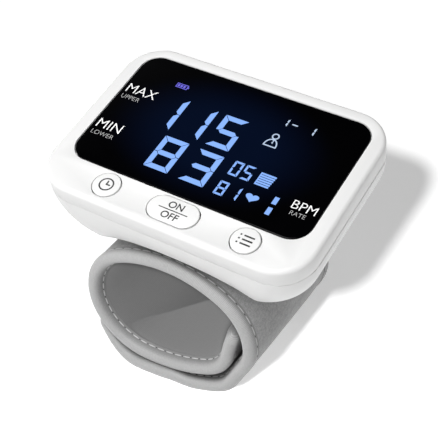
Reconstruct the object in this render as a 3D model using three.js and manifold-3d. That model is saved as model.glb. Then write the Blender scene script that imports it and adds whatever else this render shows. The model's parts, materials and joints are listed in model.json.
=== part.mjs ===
// Wrist blood pressure monitor: a display case that sits tilted on a rolled fabric cuff.
// Millimetres, +Z up, the display facing up and towards -Y. The case is built level in its own group,
// with its origin at the middle of its top face, and the group is then tilted onto the cuff.
import * as THREE from 'three';
import { mergeVertices } from 'three/addons/utils/BufferGeometryUtils.js';
import Module from 'manifold-3d';

const wasm = await Module();
wasm.setup();

// Driving dimensions: clearances
const GAP = 0.3; // between pieces that touch on the real object
const SEAT = 0.15; // under a piece that rests on its seat
const HINGE_GAP = 0.4; // between two stretches of the cuff where the fabric flexes

// Driving dimensions: case shells
const CASE_HEIGHT = 22; // top face to flat underside
const CASE_CORNER = 12;
const CASE_TOP_ROUND = 2;
const CASE_WALL = 1.8;
const TOP_PLATE = 3;
const PARTING_DEPTH = 6; // top face to the line where the shells meet
const SIDE_ROUND_WIDTH = 13; // the underside's rounded left and right sides
const FRONT_ROUND_WIDTH = 3.4; // the underside's rounded front and back
const ROUND_HEIGHT = 15.5;
const CASE_TILT = THREE.MathUtils.degToRad(14); // the display leans towards its reader
const CASE_CLEAR = 6; // middle of the underside above the cuff's mid surface
const CASE_SHIFT = 0.2; // middle of the top face behind the middle of the cuff
const PEDESTAL_WIDTH = 24; // the wedge under the case that sits on the cuff
const PEDESTAL_LENGTH = 42;
const PEDESTAL_CORNER = 4;
const PEDESTAL_FORWARD = 0.7; // set forward of the middle of the cuff
const PEDESTAL_DROP = 6; // how far it reaches down past the crown of the cuff before it is cut to fit

// Driving dimensions: display
const LENS_WIDTH = 78;
const LENS_DEPTH = 45.5;
const LENS_CORNER = 6;
const LENS_THICK = 1.2;
const LENS_SIDE_MARGIN = 5; // lens to the left and right of the case
const LENS_BACK_MARGIN = 4; // lens to the back of the case
const LENS_LEDGE = 5.5; // how far the case reaches under the lens
const LCD_THICK = 2;
const BACKLIGHT_THICK = 1.6;
const HOLDER_WALL = 1.6;
const STRIP_DEPTH = 2.4; // rubber strip that joins the LCD to the board

// Driving dimensions: buttons and their switches
const BUTTON_FRONT_MARGIN = 2.5; // front of the case to the buttons
const BUTTON_BACK_MARGIN = 0.7; // buttons to the lens
const BUTTON_PITCH = 22.7;
const BUTTON_ROW_SHIFT = 1.8;
const BUTTON_DIAMETER = 9;
const START_BUTTON_LENGTH = 16.5;
const BUTTON_PROUD = 0.3;
const BUTTON_EAR = 1.4; // ears that keep the button from falling out
const BUTTON_EAR_WIDTH = 5;
const BUTTON_EAR_THICK = 0.8;
const BUTTON_TRAVEL = 0.5;
const SWITCH_SIZE = 4.4;

// Driving dimensions: board, screws and small parts on the board
const BOARD_MARGIN = 2.2; // board to the inside of the case
const BOARD_THICK = 1.2;
const BOSS_RADIUS = 2.5;
const SCREW_RIGHT_INSET = 14;
const SCREW_FRONT_INSET = 13.2;
const SCREW_BACK_INSET = 5.4;
const SCREW_LEFT_PLACE = 6.5;
const CASE_SCREW_SHANK = 0.95;
const CASE_SCREW_HEAD = 1.8;
const CASE_SCREW_HEAD_THICK = 1.4;
const CASE_SCREW_LENGTH = 10.5;
const BOARD_SCREW_SHANK = 0.8;
const BOARD_SCREW_HEAD = 1.6;
const BOARD_SCREW_HEAD_THICK = 1.2;
const BUZZER_RADIUS = 4.5;
const BUZZER_THICK = 2.5;
const BUZZER_MARGIN = 8.5; // buzzer to the back of the case

// Driving dimensions: two AAA cells, their contacts and door
const CELL_RADIUS = 5.25;
const CELL_LENGTH = 44.5;
const CELL_NUB_RADIUS = 1.9;
const CELL_NUB = 0.8;
const CELL_PITCH = 11;
const CELL_SIDE_MARGIN = 12.8; // outer cell's axis to the left side of the case
const CONTACT_THICK = 0.4;
const CONTACT_WIDTH = 6.5;
const CONTACT_TAB = 3;
const RIB = 1.2;
const DOOR_DEPTH = 42;
const DOOR_TOP = 10; // top face of the case to the door's upper edge
const TONGUE_REACH = 2.7;
const TONGUE_WIDTH = 6;
const TONGUE_THICK = 0.8;
const TONGUE_PLACE = 12;

// Driving dimensions: air pump, valve, sensor and tubes
const MOTOR_RADIUS = 5.9;
const MOTOR_LENGTH = 20;
const MOTOR_SIDE_MARGIN = 18.5; // motor's axis to the right side of the case
const PUMP_HEAD_WIDTH = 13;
const PUMP_HEAD_LENGTH = 12;
const PUMP_BORE = 4.8;
const PUMP_BORE_DEPTH = 8;
const CRANK_RADIUS = 3.5;
const CRANK_THICK = 2.5;
const CRANK_PIN = 1.1;
const CRANK_THROW = 2;
const SHAFT_RADIUS = 0.8;
const SHAFT_DEPTH = 4; // shaft inside the motor
const VALVE_WIDTH = 9;
const VALVE_LENGTH = 12;
const PLUNGER_RADIUS = 1.8;
const PLUNGER_LENGTH = 8;
const PLUNGER_PROUD = 1.5;
const PLUNGER_TRAVEL = 0.8;
const SENSOR_WIDTH = 8;
const SENSOR_LENGTH = 6;
const AIR_ROW_BACK = 16; // line of the tee and the pump's outlet behind the row of buttons
const TEE_BODY = 2;
const TEE_ARM = 5;
const SPIGOT_RADIUS = 1.2;
const SPIGOT_LENGTH = 2.5;
const TUBE_WALL = 0.8;

// Driving dimensions: cuff
const CUFF_WIDTH = 49.5;
const RIGHT_CROWN = 36; // radii of the band's mid surface, from the top outwards
const RIGHT_SHOULDER = 18;
const LEFT_CROWN = 40;
const LEFT_SHOULDER = 20;
const WRAP_SIDE = 18.4;
const WRAP_FLOOR = 50;
const WRAP_RISE = 15;
const WRAP_EASE = 30;
const WRAP_TIP = 3;
const FLAP_ROOT = 14;
const FLAP_ROOT_TURN = 32.5; // degrees that the flap leans in before it runs down
const FLAP_CORNER = 18;
const FLAP_FLOOR = 14.8; // length that lies flat
const FLAP_HUG = 23;
const FLAP_HUG_TURN = 45; // degrees that the flap climbs round the wrap
const FLAP_TIP_TURN = 8;
const FLAP_DRIFT = 4; // how far back the flap has drifted by its end
const FLAP_CLEARANCE = 0.6; // between the flap and the wrap inside it
const FLAP_PRESSED = 0.4; // how far the flap's underside is pressed flat where the object stands on it
const FABRIC_THICK = 0.9;
const STIFFENER_THICK = 0.7;
const BLADDER_THICK = 1;
const LINING_THICK = 0.9;
const BINDING_DEPTH = 3; // rim to the inner edge of the binding
const BINDING_ROUND = 1.8; // depth of the binding's rounded rim
const TIP_THINNING = 0.5; // share of the band's thickness lost at a bound end
const BLADDER_MARGIN = 5; // bladder to the inner edge of the binding
const HOOK_THICK = 0.7;
const HOOK_MARGIN = 4; // hook patch to the inner edge of the binding
const ANCHOR_PITCH = 28;
const STUD_RADIUS = 2;
const ANCHOR_SCREW_SHANK = 0.9;
const ANCHOR_SCREW_HEAD = 2.8;
const ANCHOR_SCREW_HEAD_THICK = 1.5;
const NOZZLE_FLANGE = 4.2;
const NOZZLE_FLANGE_THICK = 0.4;
const NOZZLE_RADIUS = 1.8;
const NOZZLE_BORE = 0.6;

// Fineness of curves
const ARC_STEP = 8; // degrees between stations on the cuff's curves
const CORNER_STEPS = 3; // half the steps in a corner of the case
const ROUND_STEPS = 6; // steps in the rounding under the case
const TOP_ROUND_STEPS = 3;
const RIM_STEPS = 6; // steps round the cuff's bound rim
const TUBE_STEPS = 9; // steps along the curved tube
const TUBE_BEND_EASE = 0.55; // how far the curved tube's handles reach towards its corner
const ROD_SIDES = 16;
const CELL_SIDES = 20; // the cells and the motor
const SMALL_ROD_SIDES = 10;

// Worked-out sizes of the case: it frames the lens, with a strip for the buttons in front
const CASE_WIDTH = LENS_WIDTH + 2 * LENS_SIDE_MARGIN;
const BUTTON_STRIP = BUTTON_FRONT_MARGIN + BUTTON_DIAMETER + BUTTON_BACK_MARGIN;
const CASE_DEPTH = BUTTON_STRIP + LENS_DEPTH + GAP + LENS_BACK_MARGIN;
const CASE_RISE = CASE_HEIGHT + CASE_CLEAR; // middle of the top face above the cuff's mid surface

// The cuff's course, seen from the front and walked outwards from the middle under the case.
// A positive turn bends towards the inside of the loop.
const SADDLE_RIGHT = [{ radius: RIGHT_CROWN, turn: 28 }, { radius: RIGHT_SHOULDER, turn: 62 }];
const SADDLE_LEFT = [{ radius: LEFT_CROWN, turn: 28 }, { radius: LEFT_SHOULDER, turn: 62 }];
const WRAP_COURSE = [
  { radius: WRAP_SIDE, turn: 90 },
  { radius: WRAP_FLOOR, turn: 26 },
  { radius: WRAP_RISE, turn: 64 },
  { radius: WRAP_EASE, turn: -8 },
];

// Worked-out levels in the case, measured up from its top face
const LENS_Y = CASE_DEPTH / 2 - LENS_BACK_MARGIN - LENS_DEPTH / 2 - GAP;
const LCD_TOP = -LENS_THICK - GAP;
const BACKLIGHT_TOP = LCD_TOP - LCD_THICK - GAP;
const BOARD_TOP = BACKLIGHT_TOP - BACKLIGHT_THICK - GAP;
const BOARD_BOTTOM = BOARD_TOP - BOARD_THICK;
const FLOOR = -CASE_HEIGHT + CASE_WALL;
const PLATE_UNDERSIDE = -TOP_PLATE;
const BAND_THICK = FABRIC_THICK + STIFFENER_THICK + BLADDER_THICK + LINING_THICK + 3 * GAP;

// Worked-out places in the case
const BUTTON_Y = -CASE_DEPTH / 2 + BUTTON_FRONT_MARGIN + BUTTON_DIAMETER / 2;
const CELL_Z = FLOOR + GAP + CELL_RADIUS;
const CELL_X = [-CASE_WIDTH / 2 + CELL_SIDE_MARGIN, -CASE_WIDTH / 2 + CELL_SIDE_MARGIN + CELL_PITCH];
const DOOR_RIGHT = CELL_X[1] + CELL_RADIUS + SEAT;
const BAY_RIB_X = DOOR_RIGHT + TONGUE_REACH + GAP;
const MOTOR_X = CASE_WIDTH / 2 - MOTOR_SIDE_MARGIN;
const AIR_Z = FLOOR + GAP + MOTOR_RADIUS;
const AIR_ROW = BUTTON_Y + AIR_ROW_BACK;
const PUMP_FRONT = AIR_ROW - PUMP_HEAD_LENGTH / 2;
const MOTOR_FRONT = AIR_ROW + PUMP_HEAD_LENGTH / 2 + GAP;
const TEE_X = MOTOR_X - PUMP_HEAD_WIDTH / 2 - SPIGOT_LENGTH - GAP - TEE_ARM;
const VALVE_FRONT = AIR_ROW + TEE_ARM + GAP + SPIGOT_LENGTH;
const SENSOR_BACK = AIR_ROW - TEE_ARM - GAP - SPIGOT_LENGTH;
const CASE_SCREW_PLACES = [
  [CASE_WIDTH / 2 - SCREW_RIGHT_INSET, -CASE_DEPTH / 2 + SCREW_FRONT_INSET],
  [CASE_WIDTH / 2 - SCREW_RIGHT_INSET, CASE_DEPTH / 2 - SCREW_BACK_INSET],
  [-SCREW_LEFT_PLACE, CASE_DEPTH / 2 - SCREW_BACK_INSET],
];
const BUTTONS = [
  { name: 'set', x: BUTTON_ROW_SHIFT - BUTTON_PITCH, length: BUTTON_DIAMETER },
  { name: 'start', x: BUTTON_ROW_SHIFT, length: START_BUTTON_LENGTH },
  { name: 'memory', x: BUTTON_ROW_SHIFT + BUTTON_PITCH, length: BUTTON_DIAMETER },
];
const BOARD_SCREW_X = [0, 1].map((i) => {
  const right = BUTTONS[i + 1].x - BUTTONS[i + 1].length / 2;
  const left = BUTTONS[i].x + BUTTONS[i].length / 2;
  return (left + right) / 2;
});

// Solids and booleans
function solidOf(geometry) {
  const bare = geometry.clone();
  bare.deleteAttribute('normal');
  bare.deleteAttribute('uv');
  const merged = mergeVertices(bare, 1e-4);
  const points = merged.attributes.position;
  const corners = [new THREE.Vector3(), new THREE.Vector3(), new THREE.Vector3()];
  const triangles = [];
  let volume = 0;
  for (let i = 0; i < merged.index.count; i += 3) {
    const [a, b, c] = [0, 1, 2].map((k) => merged.index.getX(i + k));
    if (a === b || b === c || c === a) continue;
    [a, b, c].forEach((index, k) => corners[k].fromBufferAttribute(points, index));
    volume += corners[0].dot(corners[1].clone().cross(corners[2]));
    triangles.push([a, b, c]);
  }
  const outward = volume > 0 ? triangles : triangles.map(([a, b, c]) => [a, c, b]);
  return new wasm.Manifold(new wasm.Mesh({
    numProp: 3,
    vertProperties: new Float32Array(points.array),
    triVerts: new Uint32Array(outward.flat()),
  }));
}

function geometryOf(solid) {
  const mesh = solid.getMesh();
  const geometry = new THREE.BufferGeometry();
  geometry.setAttribute('position', new THREE.BufferAttribute(new Float32Array(mesh.vertProperties), 3));
  geometry.setIndex(new THREE.BufferAttribute(new Uint32Array(mesh.triVerts), 1));
  return geometry;
}

function combine(method, first, others) {
  const start = solidOf(first);
  return geometryOf(others.reduce((solid, other) => solid[method](solidOf(other)), start));
}
const join = (first, ...others) => combine('add', first, others);
const cut = (first, ...others) => combine('subtract', first, others);
const common = (first, ...others) => combine('intersect', first, others);

// Simple shapes
function outline(width, depth, corner) {
  const x = width / 2 - corner;
  const y = depth / 2 - corner;
  const shape = new THREE.Shape();
  shape.absarc(x, y, corner, 0, Math.PI / 2, false);
  shape.absarc(-x, y, corner, Math.PI / 2, Math.PI, false);
  shape.absarc(-x, -y, corner, Math.PI, 1.5 * Math.PI, false);
  shape.absarc(x, -y, corner, 1.5 * Math.PI, 2 * Math.PI, false);
  shape.closePath();
  return shape;
}

function slab(shape, floor, top, x = 0, y = 0) {
  const options = { depth: top - floor, bevelEnabled: false, curveSegments: CORNER_STEPS + 2 };
  return new THREE.ExtrudeGeometry(shape, options).translate(x, y, floor);
}

function block([x0, x1], [y0, y1], [z0, z1]) {
  const box = new THREE.BoxGeometry(x1 - x0, y1 - y0, z1 - z0);
  return box.translate((x0 + x1) / 2, (y0 + y1) / 2, (z0 + z1) / 2);
}

function rod(radius, [z0, z1], x = 0, y = 0, sides = ROD_SIDES) {
  const cylinder = new THREE.CylinderGeometry(radius, radius, z1 - z0, sides).rotateX(Math.PI / 2);
  return cylinder.translate(x, y, (z0 + z1) / 2);
}

function rodAlongY(radius, [y0, y1], x, z, sides = ROD_SIDES) {
  const cylinder = new THREE.CylinderGeometry(radius, radius, y1 - y0, sides);
  return cylinder.translate(x, (y0 + y1) / 2, z);
}

function rodAlongX(radius, [x0, x1], y, z, sides = ROD_SIDES) {
  const cylinder = new THREE.CylinderGeometry(radius, radius, x1 - x0, sides).rotateZ(Math.PI / 2);
  return cylinder.translate((x0 + x1) / 2, y, z);
}

// A shape drawn in X and Z, drawn out along Y
function alongY(shape, [y0, y1]) {
  const options = { depth: y1 - y0, bevelEnabled: false };
  return new THREE.ExtrudeGeometry(shape, options).rotateX(Math.PI / 2).translate(0, y1, 0);
}

// Closed rings of the same count of points, given from the top down, skinned into one solid
function loft(rings) {
  const size = rings[0].length;
  const index = [];
  for (let ring = 0; ring + 1 < rings.length; ring += 1) {
    for (let k = 0; k < size; k += 1) {
      const [a, b] = [ring * size + k, ring * size + ((k + 1) % size)];
      index.push(a, a + size, b, b, a + size, b + size);
    }
  }
  const last = (rings.length - 1) * size;
  const flat = rings[0].map(([x, y]) => new THREE.Vector2(x, y));
  for (const [a, b, c] of THREE.ShapeUtils.triangulateShape(flat, [])) {
    index.push(a, b, c, last + a, last + c, last + b);
  }
  const geometry = new THREE.BufferGeometry();
  geometry.setAttribute('position', new THREE.Float32BufferAttribute(rings.flat(2), 3));
  geometry.setIndex(index);
  return geometry;
}

// One ring of the case's plan, drawn in by an inset at the sides and another at the front and back
function caseRing(sideInset, endInset, corner, z) {
  const plan = outline(CASE_WIDTH - 2 * sideInset, CASE_DEPTH - 2 * endInset, corner);
  return plan.getPoints(CORNER_STEPS).slice(1).map(({ x, y }) => [x, y, z]);
}

// A profile of [radius, height] turned about Z
function turned(profile, sides = ROD_SIDES) {
  const points = profile.map(([radius, height]) => new THREE.Vector2(radius, height));
  return new THREE.LatheGeometry(points, sides).rotateX(Math.PI / 2);
}

// The same profile turned about Y, with its heights measured along +Y
function turnedAlongY(profile, x, z, sides = ROD_SIDES) {
  const points = profile.map(([radius, height]) => new THREE.Vector2(radius, height));
  return new THREE.LatheGeometry(points, sides).translate(x, 0, z);
}

// A hollow tube along a curve
function tube(curve, steps) {
  const bore = SPIGOT_RADIUS + GAP;
  const section = new THREE.Shape().absarc(0, 0, bore + TUBE_WALL, 0, 2 * Math.PI, false);
  section.holes.push(new THREE.Path().absarc(0, 0, bore, 0, 2 * Math.PI, true));
  const settings = { steps, extrudePath: curve, curveSegments: SMALL_ROD_SIDES / 2 };
  return new THREE.ExtrudeGeometry(section, settings);
}

// The object's groups and its pieces
const monitor = new THREE.Group();
const caseGroup = new THREE.Group();
caseGroup.rotation.x = CASE_TILT;
caseGroup.position.set(0, CASE_SHIFT, CASE_RISE);
caseGroup.updateMatrix();
const cuffGroup = new THREE.Group();
monitor.add(caseGroup, cuffGroup);
const cuffToCase = caseGroup.matrix.clone().invert();

function finish(color, roughness, metalness = 0) {
  return { color, roughness, metalness };
}
const WHITE_PLASTIC = finish(0xf4f4f2, 0.4);
const BLACK_GLASS = finish(0x050507, 0.08);
const DARK_GLASS = finish(0x10141f, 0.15);
const CLEAR_PLASTIC = finish(0xdfe6ee, 0.3);
const GREY_PLASTIC = finish(0x6b6e72, 0.5);
const BLACK_RUBBER = finish(0x1c1c1e, 0.8);
const GREEN_BOARD = finish(0x14532d, 0.5);
const STEEL = finish(0xb8bcc0, 0.3, 1);
const SILICONE = finish(0xd8d8d4, 0.6);
const CELL_SLEEVE = finish(0x3a4a5a, 0.35);
const OUTER_FABRIC = finish(0x969696, 0.95);
const LINING_FABRIC = finish(0x6f6f71, 0.95);
const BINDING_TAPE = finish(0xc6c6c7, 0.7);
const HOOK_TAPE = finish(0x2b2b2d, 0.95);
const FOAM = finish(0x55585c, 0.95);

function add(group, name, geometry, look) {
  const body = geometryOf(solidOf(geometry));
  body.computeVertexNormals();
  const mesh = new THREE.Mesh(body, new THREE.MeshStandardMaterial(look));
  mesh.name = name;
  group.add(mesh);
}

const endOf = (list) => list[list.length - 1];

// Cuff course: stations hold a point, the heading and the direction that faces out of the loop
function walk(start, side, moves) {
  const stations = [start];
  let { x, z, heading } = start;
  const mark = () => stations.push({
    x, z, heading, outX: -side * Math.sin(heading), outZ: side * Math.cos(heading),
  });
  for (const { radius, turn, straight } of moves) {
    if (straight) {
      x += straight * Math.cos(heading);
      z += straight * Math.sin(heading);
      mark();
      continue;
    }
    const count = Math.max(1, Math.ceil(Math.abs(turn) / ARC_STEP));
    const step = -side * THREE.MathUtils.degToRad(turn) / count;
    const chord = 2 * radius * Math.sin(Math.abs(step) / 2);
    for (let i = 0; i < count; i += 1) {
      x += chord * Math.cos(heading + step / 2);
      z += chord * Math.sin(heading + step / 2);
      heading += step;
      mark();
    }
  }
  return stations;
}

// Draws a closed section of [distance out of the loop, y] along the stations
function sweep(stations, drawn) {
  const flat = drawn.map(([out, y]) => new THREE.Vector2(out, y));
  if (THREE.ShapeUtils.isClockWise(flat)) flat.reverse();
  const section = flat.map(({ x, y }) => [x, y]);
  const points = [];
  for (const { x, z, outX, outZ, slim = 1, drift = 0 } of stations) {
    for (const [out, y] of section) points.push(x + slim * out * outX, y + drift, z + slim * out * outZ);
  }
  const size = section.length;
  const index = [];
  for (let ring = 0; ring + 1 < stations.length; ring += 1) {
    for (let k = 0; k < size; k += 1) {
      const [a, b] = [ring * size + k, ring * size + ((k + 1) % size)];
      index.push(a, b, a + size, b, b + size, a + size);
    }
  }
  const last = (stations.length - 1) * size;
  for (const [a, b, c] of THREE.ShapeUtils.triangulateShape(flat, [])) {
    index.push(a, c, b, last + a, last + b, last + c);
  }
  const geometry = new THREE.BufferGeometry();
  geometry.setAttribute('position', new THREE.Float32BufferAttribute(points, 3));
  geometry.setIndex(index);
  return geometry;
}

// The flap is wound a little askew: it drifts back more and more along its course
function drifting(stations) {
  const lengths = [0];
  for (let i = 1; i < stations.length; i += 1) {
    const step = Math.hypot(stations[i].x - stations[i - 1].x, stations[i].z - stations[i - 1].z);
    lengths.push(lengths[i - 1] + step);
  }
  const whole = endOf(lengths);
  return stations.map((station, i) => ({ ...station, drift: FLAP_DRIFT * (lengths[i] / whole) ** 2 }));
}

const rectangle = ([out0, out1], [y0, y1]) => [[out0, y0], [out1, y0], [out1, y1], [out0, y1]];
const flexGap = { straight: HINGE_GAP };

const MIDDLE = { x: 0, z: 0, outX: 0, outZ: 1 };
const saddleRight = walk({ ...MIDDLE, heading: 0 }, 1, SADDLE_RIGHT);
const saddleLeft = walk({ ...MIDDLE, heading: Math.PI }, -1, SADDLE_LEFT);
const saddleCourse = [...saddleLeft.slice(1).reverse(), ...saddleRight];
const wrapCourse = walk(endOf(saddleLeft), -1, [flexGap, ...WRAP_COURSE]).slice(1);
const wrapTipCourse = walk(endOf(wrapCourse), -1, [{ straight: GAP }, { straight: WRAP_TIP }]).slice(1);

// The flap leans in, runs down until it is under the wrap, lies flat and climbs round the wrap's left side
const flapFloorLevel = Math.min(...wrapCourse.map(({ z }) => z)) - BAND_THICK - FLAP_CLEARANCE;
const flapDrop = endOf(saddleRight).z - HINGE_GAP - flapFloorLevel;
const flapLean = THREE.MathUtils.degToRad(FLAP_ROOT_TURN);
const cornerDrop = FLAP_ROOT * Math.sin(flapLean) + FLAP_CORNER * (1 - Math.sin(flapLean));
const flapStart = walk(endOf(saddleRight), 1, [
  flexGap,
  { radius: FLAP_ROOT, turn: FLAP_ROOT_TURN },
  { straight: (flapDrop - cornerDrop) / Math.cos(flapLean) },
  { radius: FLAP_CORNER, turn: 90 - FLAP_ROOT_TURN },
  { straight: FLAP_FLOOR },
]).slice(1);
const flapHookPart = walk(endOf(flapStart), 1, [{ radius: FLAP_HUG, turn: FLAP_HUG_TURN }]).slice(1);
const flapTip = [{ straight: GAP }, { radius: FLAP_HUG, turn: FLAP_TIP_TURN }];
const flapTipPart = walk(endOf(flapHookPart), 1, flapTip).slice(1);
const flapAll = drifting([...flapStart, ...flapHookPart, ...flapTipPart]);
const flapCourse = flapAll.slice(0, -flapTipPart.length);
const flapHook = flapCourse.slice(flapStart.length - 1);
const flapTipCourse = flapAll.slice(-flapTipPart.length);

// Levels through the band's thickness, out of the loop from its mid surface
const OUTSIDE = BAND_THICK / 2;
const FABRIC_BAND = [OUTSIDE - FABRIC_THICK, OUTSIDE];
const STIFFENER_BAND = [FABRIC_BAND[0] - GAP - STIFFENER_THICK, FABRIC_BAND[0] - GAP];
const BLADDER_BAND = [STIFFENER_BAND[0] - GAP - BLADDER_THICK, STIFFENER_BAND[0] - GAP];
const LINING_BAND = [-OUTSIDE, -OUTSIDE + LINING_THICK];
const CORE_BAND = [LINING_BAND[1] + GAP, FABRIC_BAND[0] - GAP];
const SADDLE_FLOOR = OUTSIDE + GAP + CASE_WALL; // inside face of the case's saddle wall
const RIM = CUFF_WIDTH / 2;
const SEAM = RIM - BINDING_DEPTH;
const BODY_SPAN = [-SEAM + GAP, SEAM - GAP];

// The space that the saddle takes up, grown by a clearance: the case's underside is cut with it
function cuffSpace(clearance) {
  const rim = saddleCourse.map(({ x, z, outX, outZ }) => {
    const out = OUTSIDE + clearance;
    return new THREE.Vector2(x + out * outX, z + out * outZ);
  });
  return alongY(new THREE.Shape(rim), [-RIM - clearance, RIM + clearance]).applyMatrix4(cuffToCase);
}

// A rod of the cuff's frame, upright there, brought into the case's frame
const cuffRodInCase = (radius, span, y) => rod(radius, span, 0, y).applyMatrix4(cuffToCase);

// Case shells
function caseHull(inset, top) {
  const corner = CASE_CORNER - inset;
  const bottom = -CASE_HEIGHT + inset;
  const rise = ROUND_HEIGHT - inset;
  const rings = [caseRing(inset, inset, corner, top)];
  for (let i = 0; i <= ROUND_STEPS; i += 1) {
    const angle = (Math.PI / 2) * (i / ROUND_STEPS);
    const side = inset + (SIDE_ROUND_WIDTH - inset) * (1 - Math.cos(angle));
    const end = inset + (FRONT_ROUND_WIDTH - inset) * (1 - Math.cos(angle));
    rings.push(caseRing(side, end, corner, bottom + rise * (1 - Math.sin(angle))));
  }
  return loft(rings);
}

function pedestal(inset) {
  const plan = outline(PEDESTAL_WIDTH - 2 * inset, PEDESTAL_LENGTH - 2 * inset, PEDESTAL_CORNER - inset);
  const middle = new THREE.Vector3(0, 0, SADDLE_FLOOR).applyMatrix4(cuffToCase).y - PEDESTAL_FORWARD;
  return slab(plan, -CASE_RISE - PEDESTAL_DROP, FLOOR + CASE_WALL, 0, middle);
}

function buttonOutline(length, grow) {
  return outline(length + 2 * grow, BUTTON_DIAMETER + 2 * grow, BUTTON_DIAMETER / 2 + grow - 0.01);
}

function topCase() {
  const rings = [];
  for (let i = 0; i <= TOP_ROUND_STEPS; i += 1) {
    const angle = (Math.PI / 2) * (i / TOP_ROUND_STEPS);
    const inset = CASE_TOP_ROUND * (1 - Math.sin(angle));
    rings.push(caseRing(inset, inset, CASE_CORNER - inset, CASE_TOP_ROUND * (Math.cos(angle) - 1)));
  }
  rings.push(caseRing(0, 0, CASE_CORNER, -PARTING_DEPTH));
  const inside = outline(CASE_WIDTH - 2 * CASE_WALL, CASE_DEPTH - 2 * CASE_WALL, CASE_CORNER - CASE_WALL);
  const lensSeat = outline(LENS_WIDTH + 2 * GAP, LENS_DEPTH + 2 * GAP, LENS_CORNER + GAP);
  const window = outline(LENS_WIDTH - 2 * LENS_LEDGE, LENS_DEPTH - 2 * LENS_LEDGE, GAP);
  const bosses = [
    ...CASE_SCREW_PLACES.map(([x, y]) => rod(BOSS_RADIUS, [-PARTING_DEPTH, PLATE_UNDERSIDE + GAP], x, y)),
    ...BOARD_SCREW_X.map((x) => rod(BOSS_RADIUS - GAP, [BOARD_TOP + SEAT, PLATE_UNDERSIDE + GAP], x, BUTTON_Y)),
  ];
  const hollow = cut(
    loft(rings),
    slab(inside, -CASE_HEIGHT, PLATE_UNDERSIDE),
    slab(lensSeat, -LENS_THICK - SEAT, 1, 0, LENS_Y),
    slab(window, -CASE_HEIGHT, 1, 0, LENS_Y),
    ...BUTTONS.map(({ x, length }) => slab(buttonOutline(length, GAP), -CASE_HEIGHT, 1, x, BUTTON_Y)),
  );
  return cut(
    join(hollow, ...bosses),
    ...CASE_SCREW_PLACES.map(([x, y]) => rod(CASE_SCREW_SHANK + SEAT, [-CASE_HEIGHT, PLATE_UNDERSIDE], x, y)),
    ...BOARD_SCREW_X.map((x) => rod(BOARD_SCREW_SHANK + SEAT, [BOARD_BOTTOM, PLATE_UNDERSIDE], x, BUTTON_Y)),
  );
}

const doorSpace = (grow) => block(
  [-CASE_WIDTH, DOOR_RIGHT + grow],
  [-DOOR_DEPTH / 2 - grow, DOOR_DEPTH / 2 + grow],
  [-2 * CASE_HEIGHT, -DOOR_TOP + grow],
);

// The door's tongues lie in rebates in the floor's thickness, so that they slide out under the cells
function tongueSpace(end, grow) {
  const middle = end * TONGUE_PLACE;
  const half = TONGUE_WIDTH / 2 + grow;
  return block(
    [DOOR_RIGHT - TONGUE_REACH, DOOR_RIGHT + TONGUE_REACH + grow],
    [middle - half, middle + half],
    [FLOOR - TONGUE_THICK - grow, FLOOR + grow],
  );
}

// Case screws go in from below: the head sits in a pocket as deep as the screw needs
const CASE_SCREW_TIP = PLATE_UNDERSIDE - GAP;
const CASE_SCREW_SEAT = CASE_SCREW_TIP - CASE_SCREW_LENGTH;

function bottomCase() {
  const top = -PARTING_DEPTH - SEAT;
  const outside = join(caseHull(0, top), pedestal(0));
  const room = cut(join(caseHull(CASE_WALL, 0), pedestal(CASE_WALL)), cuffSpace(GAP + CASE_WALL));
  const shell = cut(outside, cuffSpace(GAP), room);
  const bayEnd = CELL_LENGTH / 2 + 2 * GAP + CONTACT_THICK;
  const ribTop = CELL_Z + CELL_RADIUS;
  const ribs = [
    block([BAY_RIB_X, BAY_RIB_X + RIB], [-bayEnd - RIB, bayEnd + RIB], [-CASE_HEIGHT, ribTop]),
    ...[-1, 1].map((end) => block(
      [-CASE_WIDTH / 2, BAY_RIB_X + RIB],
      [end * (bayEnd + RIB / 2) - RIB / 2, end * (bayEnd + RIB / 2) + RIB / 2],
      [-CASE_HEIGHT, ribTop],
    )),
    ...[0.25, 0.75].map((share) => cut(
      block(
        [MOTOR_X - MOTOR_RADIUS - RIB, MOTOR_X + MOTOR_RADIUS + RIB],
        [MOTOR_FRONT + share * MOTOR_LENGTH - RIB / 2, MOTOR_FRONT + share * MOTOR_LENGTH + RIB / 2],
        [-CASE_HEIGHT, AIR_Z - MOTOR_RADIUS / 2],
      ),
      rodAlongY(MOTOR_RADIUS + GAP, [MOTOR_FRONT, MOTOR_FRONT + MOTOR_LENGTH], MOTOR_X, AIR_Z),
    )),
    ...CASE_SCREW_PLACES.map(([x, y]) => rod(BOSS_RADIUS, [-CASE_HEIGHT, -PARTING_DEPTH - SEAT], x, y)),
  ];
  const trimmed = ribs.map((rib) => cut(common(rib, caseHull(CASE_WALL / 2, 0)), cuffSpace(GAP)));
  return cut(
    join(shell, ...trimmed),
    doorSpace(GAP),
    ...[-1, 1].map((end) => tongueSpace(end, GAP)),
    ...CASE_SCREW_PLACES.map(([x, y]) => rod(CASE_SCREW_SHANK + SEAT, [-2 * CASE_HEIGHT, 0], x, y)),
    ...CASE_SCREW_PLACES.map(([x, y]) => rod(CASE_SCREW_HEAD + GAP, [-2 * CASE_HEIGHT, CASE_SCREW_SEAT], x, y)),
    cuffRodInCase(NOZZLE_RADIUS + GAP, [0, CASE_HEIGHT / 2], nozzleY),
    ...anchorRows.map((y) => cuffRodInCase(STUD_RADIUS + GAP, [0, CASE_HEIGHT / 2], y)),
  );
}

function batteryDoor() {
  const skin = cut(caseHull(0, 0), caseHull(CASE_WALL, 1), cuffSpace(GAP));
  return join(common(skin, doorSpace(0)), ...[-1, 1].map((end) => tongueSpace(end, 0)));
}

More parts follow.
